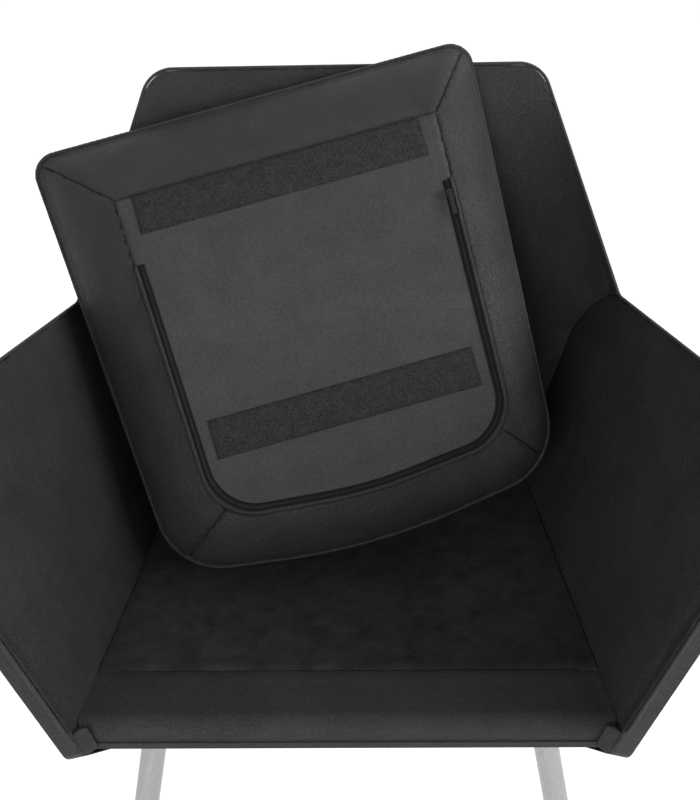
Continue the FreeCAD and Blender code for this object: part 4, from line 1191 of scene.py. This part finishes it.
def cushion_sewing():
    bm = bmesh.new()
    edge = flat_line(round_outline(CUSHION_CORNERS, CUSHION_RADII, EDGE_SEAM_INSET))
    sew(bm, laid_on(edge + edge[:1]), radius=0.34)
    panel = flat_line(round_outline(PANEL_CORNERS, PANEL_RADII, -PANEL_SEAM_OUTSET))
    sew(bm, laid_on(panel + panel[:1]))
    for middle, half, front in (FRONT_STRIP, REAR_STRIP):
        left, right, rear = middle - half + 2, middle + half - 2, front + HOOK_WIDTH / MM - 2
        outline = flat_line([(left, front + 2), (right, front + 2), (right, rear), (left, rear)])
        line = [(point + Vector((0, 0, -1.0 * MM)), -UP) for point in outline + outline[:1]]
        sew(bm, line, 2.4, 1.0, 0.22)
    bm.transform(CUSHION_MATRIX)
    thread_piece(bm, "cushion_stitching", "seat_cushion")


cushion_sewing()


BAND_SEAM_INSETS = (5.5, 9.5)
FELT_SEAM_HALF = 236 * MM
FELT_SEAM_INSET = 4 * MM


def chair_sewing():
    bm = bmesh.new()
    for _, side in SIDES:
        normal = flipped(-OFF_ARM, side)
        for inset in BAND_SEAM_INSETS:
            line = []
            for step in range(141):
                v = FOOT_RISE + 8 * MM + (ARM_FRONT_RISE - 26 * MM - FOOT_RISE) * step / 140
                u = -ARM_FOOT_REACH - ARM_FRONT_SLOPE * (v - FOOT_RISE) + inset * MM
                if v > 4 * MM:
                    place = on_arm(u, v, side)
                    line.append((place + arm_softness(side)(place), normal))
            sew(bm, line)
    felt_line = []
    for step in range(161):
        x = -FELT_SEAM_HALF + 2 * FELT_SEAM_HALF * step / 160
        place = Vector((x, DECK_FRONT + STRIP_DEPTH - FELT_SEAM_INSET, DECK_TOP))
        felt_line.append((place + deck_softness(place), UP))
    sew(bm, felt_line)
    thread_piece(bm, "chair_stitching", "chair")


chair_sewing()


# Camera, light and floor

CAMERA_PLACE = Vector((0.0282, -0.98246, 1.1023))
CAMERA_PITCH = math.radians(28.22)
CAMERA_YAW = math.radians(-1.41)
CAMERA_ROLL = math.radians(1.25)
CAMERA_LENS = 49.5
LAMP_SIZE = 1.2
LAMP_AIM_HEIGHT = 0.55
LAMPS = (("front_left", (-0.8, -2.4, 1.05), 32), ("low_front", (0, -2.4, 0.75), 9),
         ("rear_right", (1.3, 0.8, 2.3), 12), ("right", (2.2, -0.6, 1.3), 60))
WORLD_LIGHT = 0.12
FLOOR_SIZE = 40
FLOOR_GLOW = 1.56
FLOOR_GLOW_SHARE = 0.62


def set_camera():
    data = bpy.data.cameras.new("camera")
    data.lens = CAMERA_LENS
    data.sensor_width = 36
    data.clip_start = 0.01
    camera = in_scene("camera", data)
    ahead = Vector((math.sin(CAMERA_YAW) * math.cos(CAMERA_PITCH),
                    math.cos(CAMERA_YAW) * math.cos(CAMERA_PITCH), -math.sin(CAMERA_PITCH)))
    right = Vector((math.cos(CAMERA_YAW), -math.sin(CAMERA_YAW), 0))
    down = ahead.cross(right)
    turned_right = right * math.cos(CAMERA_ROLL) + down * math.sin(CAMERA_ROLL)
    turned_down = down * math.cos(CAMERA_ROLL) - right * math.sin(CAMERA_ROLL)
    camera.matrix_world = frame_at(CAMERA_PLACE, turned_right, -turned_down, -ahead)
    bpy.context.scene.camera = camera


def soft_box(name, place, target, watts):
    data = bpy.data.lights.new(name, "AREA")
    data.shape = "RECTANGLE"
    data.size = data.size_y = LAMP_SIZE
    data.energy = watts
    light = in_scene(name, data)
    light.location = place
    light.rotation_euler = (Vector(target) - Vector(place)).to_track_quat("-Z", "Y").to_euler()


def mixed_shader(share, first, second):
    mix = add(first, "MixShader", Fac=share)
    join(first.outputs[0], mix.inputs[1])
    join(second.outputs[0], mix.inputs[2])
    return mix


def seen_white(lit, seen, target):
    """Camera, glossy and transmission rays see one shader, all other light the other."""
    path = add(lit, "LightPath").outputs
    rays = worked("ADD", path["Is Camera Ray"], path["Is Transmission Ray"])
    rays = worked("MINIMUM", worked("ADD", rays, path["Is Glossy Ray"]), 1.0)
    join(mixed_shader(rays, lit, seen).outputs[0], target.inputs["Surface"])


def set_world():
    world = bpy.data.worlds.new("white_room")
    world.use_nodes = True
    tree = world.node_tree
    lit = add(tree, "Background", Color=WHITE, Strength=WORLD_LIGHT)
    seen = add(tree, "Background", Color=WHITE, Strength=1.0)
    seen_white(lit, seen, tree.nodes["World Output"])
    bpy.context.scene.world = world


def set_floor():
    bm = bmesh.new()
    bmesh.ops.create_grid(bm, x_segments=1, y_segments=1, size=FLOOR_SIZE)
    floor = in_scene("floor", mesh_of(bm, "floor"))
    bm.free()
    material, base = shader("pale_floor", 0.8, 0.1)
    base.inputs["Base Color"].default_value = (0.8, 0.8, 0.8, 1)
    glow = add(base, "Emission", Color=WHITE, Strength=FLOOR_GLOW)
    seen_white(base, mixed_shader(FLOOR_GLOW_SHARE, base, glow), material.node_tree.nodes["Material Output"])
    floor.data.materials.append(material)


set_camera()
set_world()
set_floor()
middle = (cad_low[0] + cad_high[0]) / 2, (cad_low[1] + cad_high[1]) / 2, LAMP_AIM_HEIGHT
for name, place, watts in LAMPS:
    soft_box(name, place, middle, watts)
bpy.context.scene.view_settings.view_transform = "Standard"
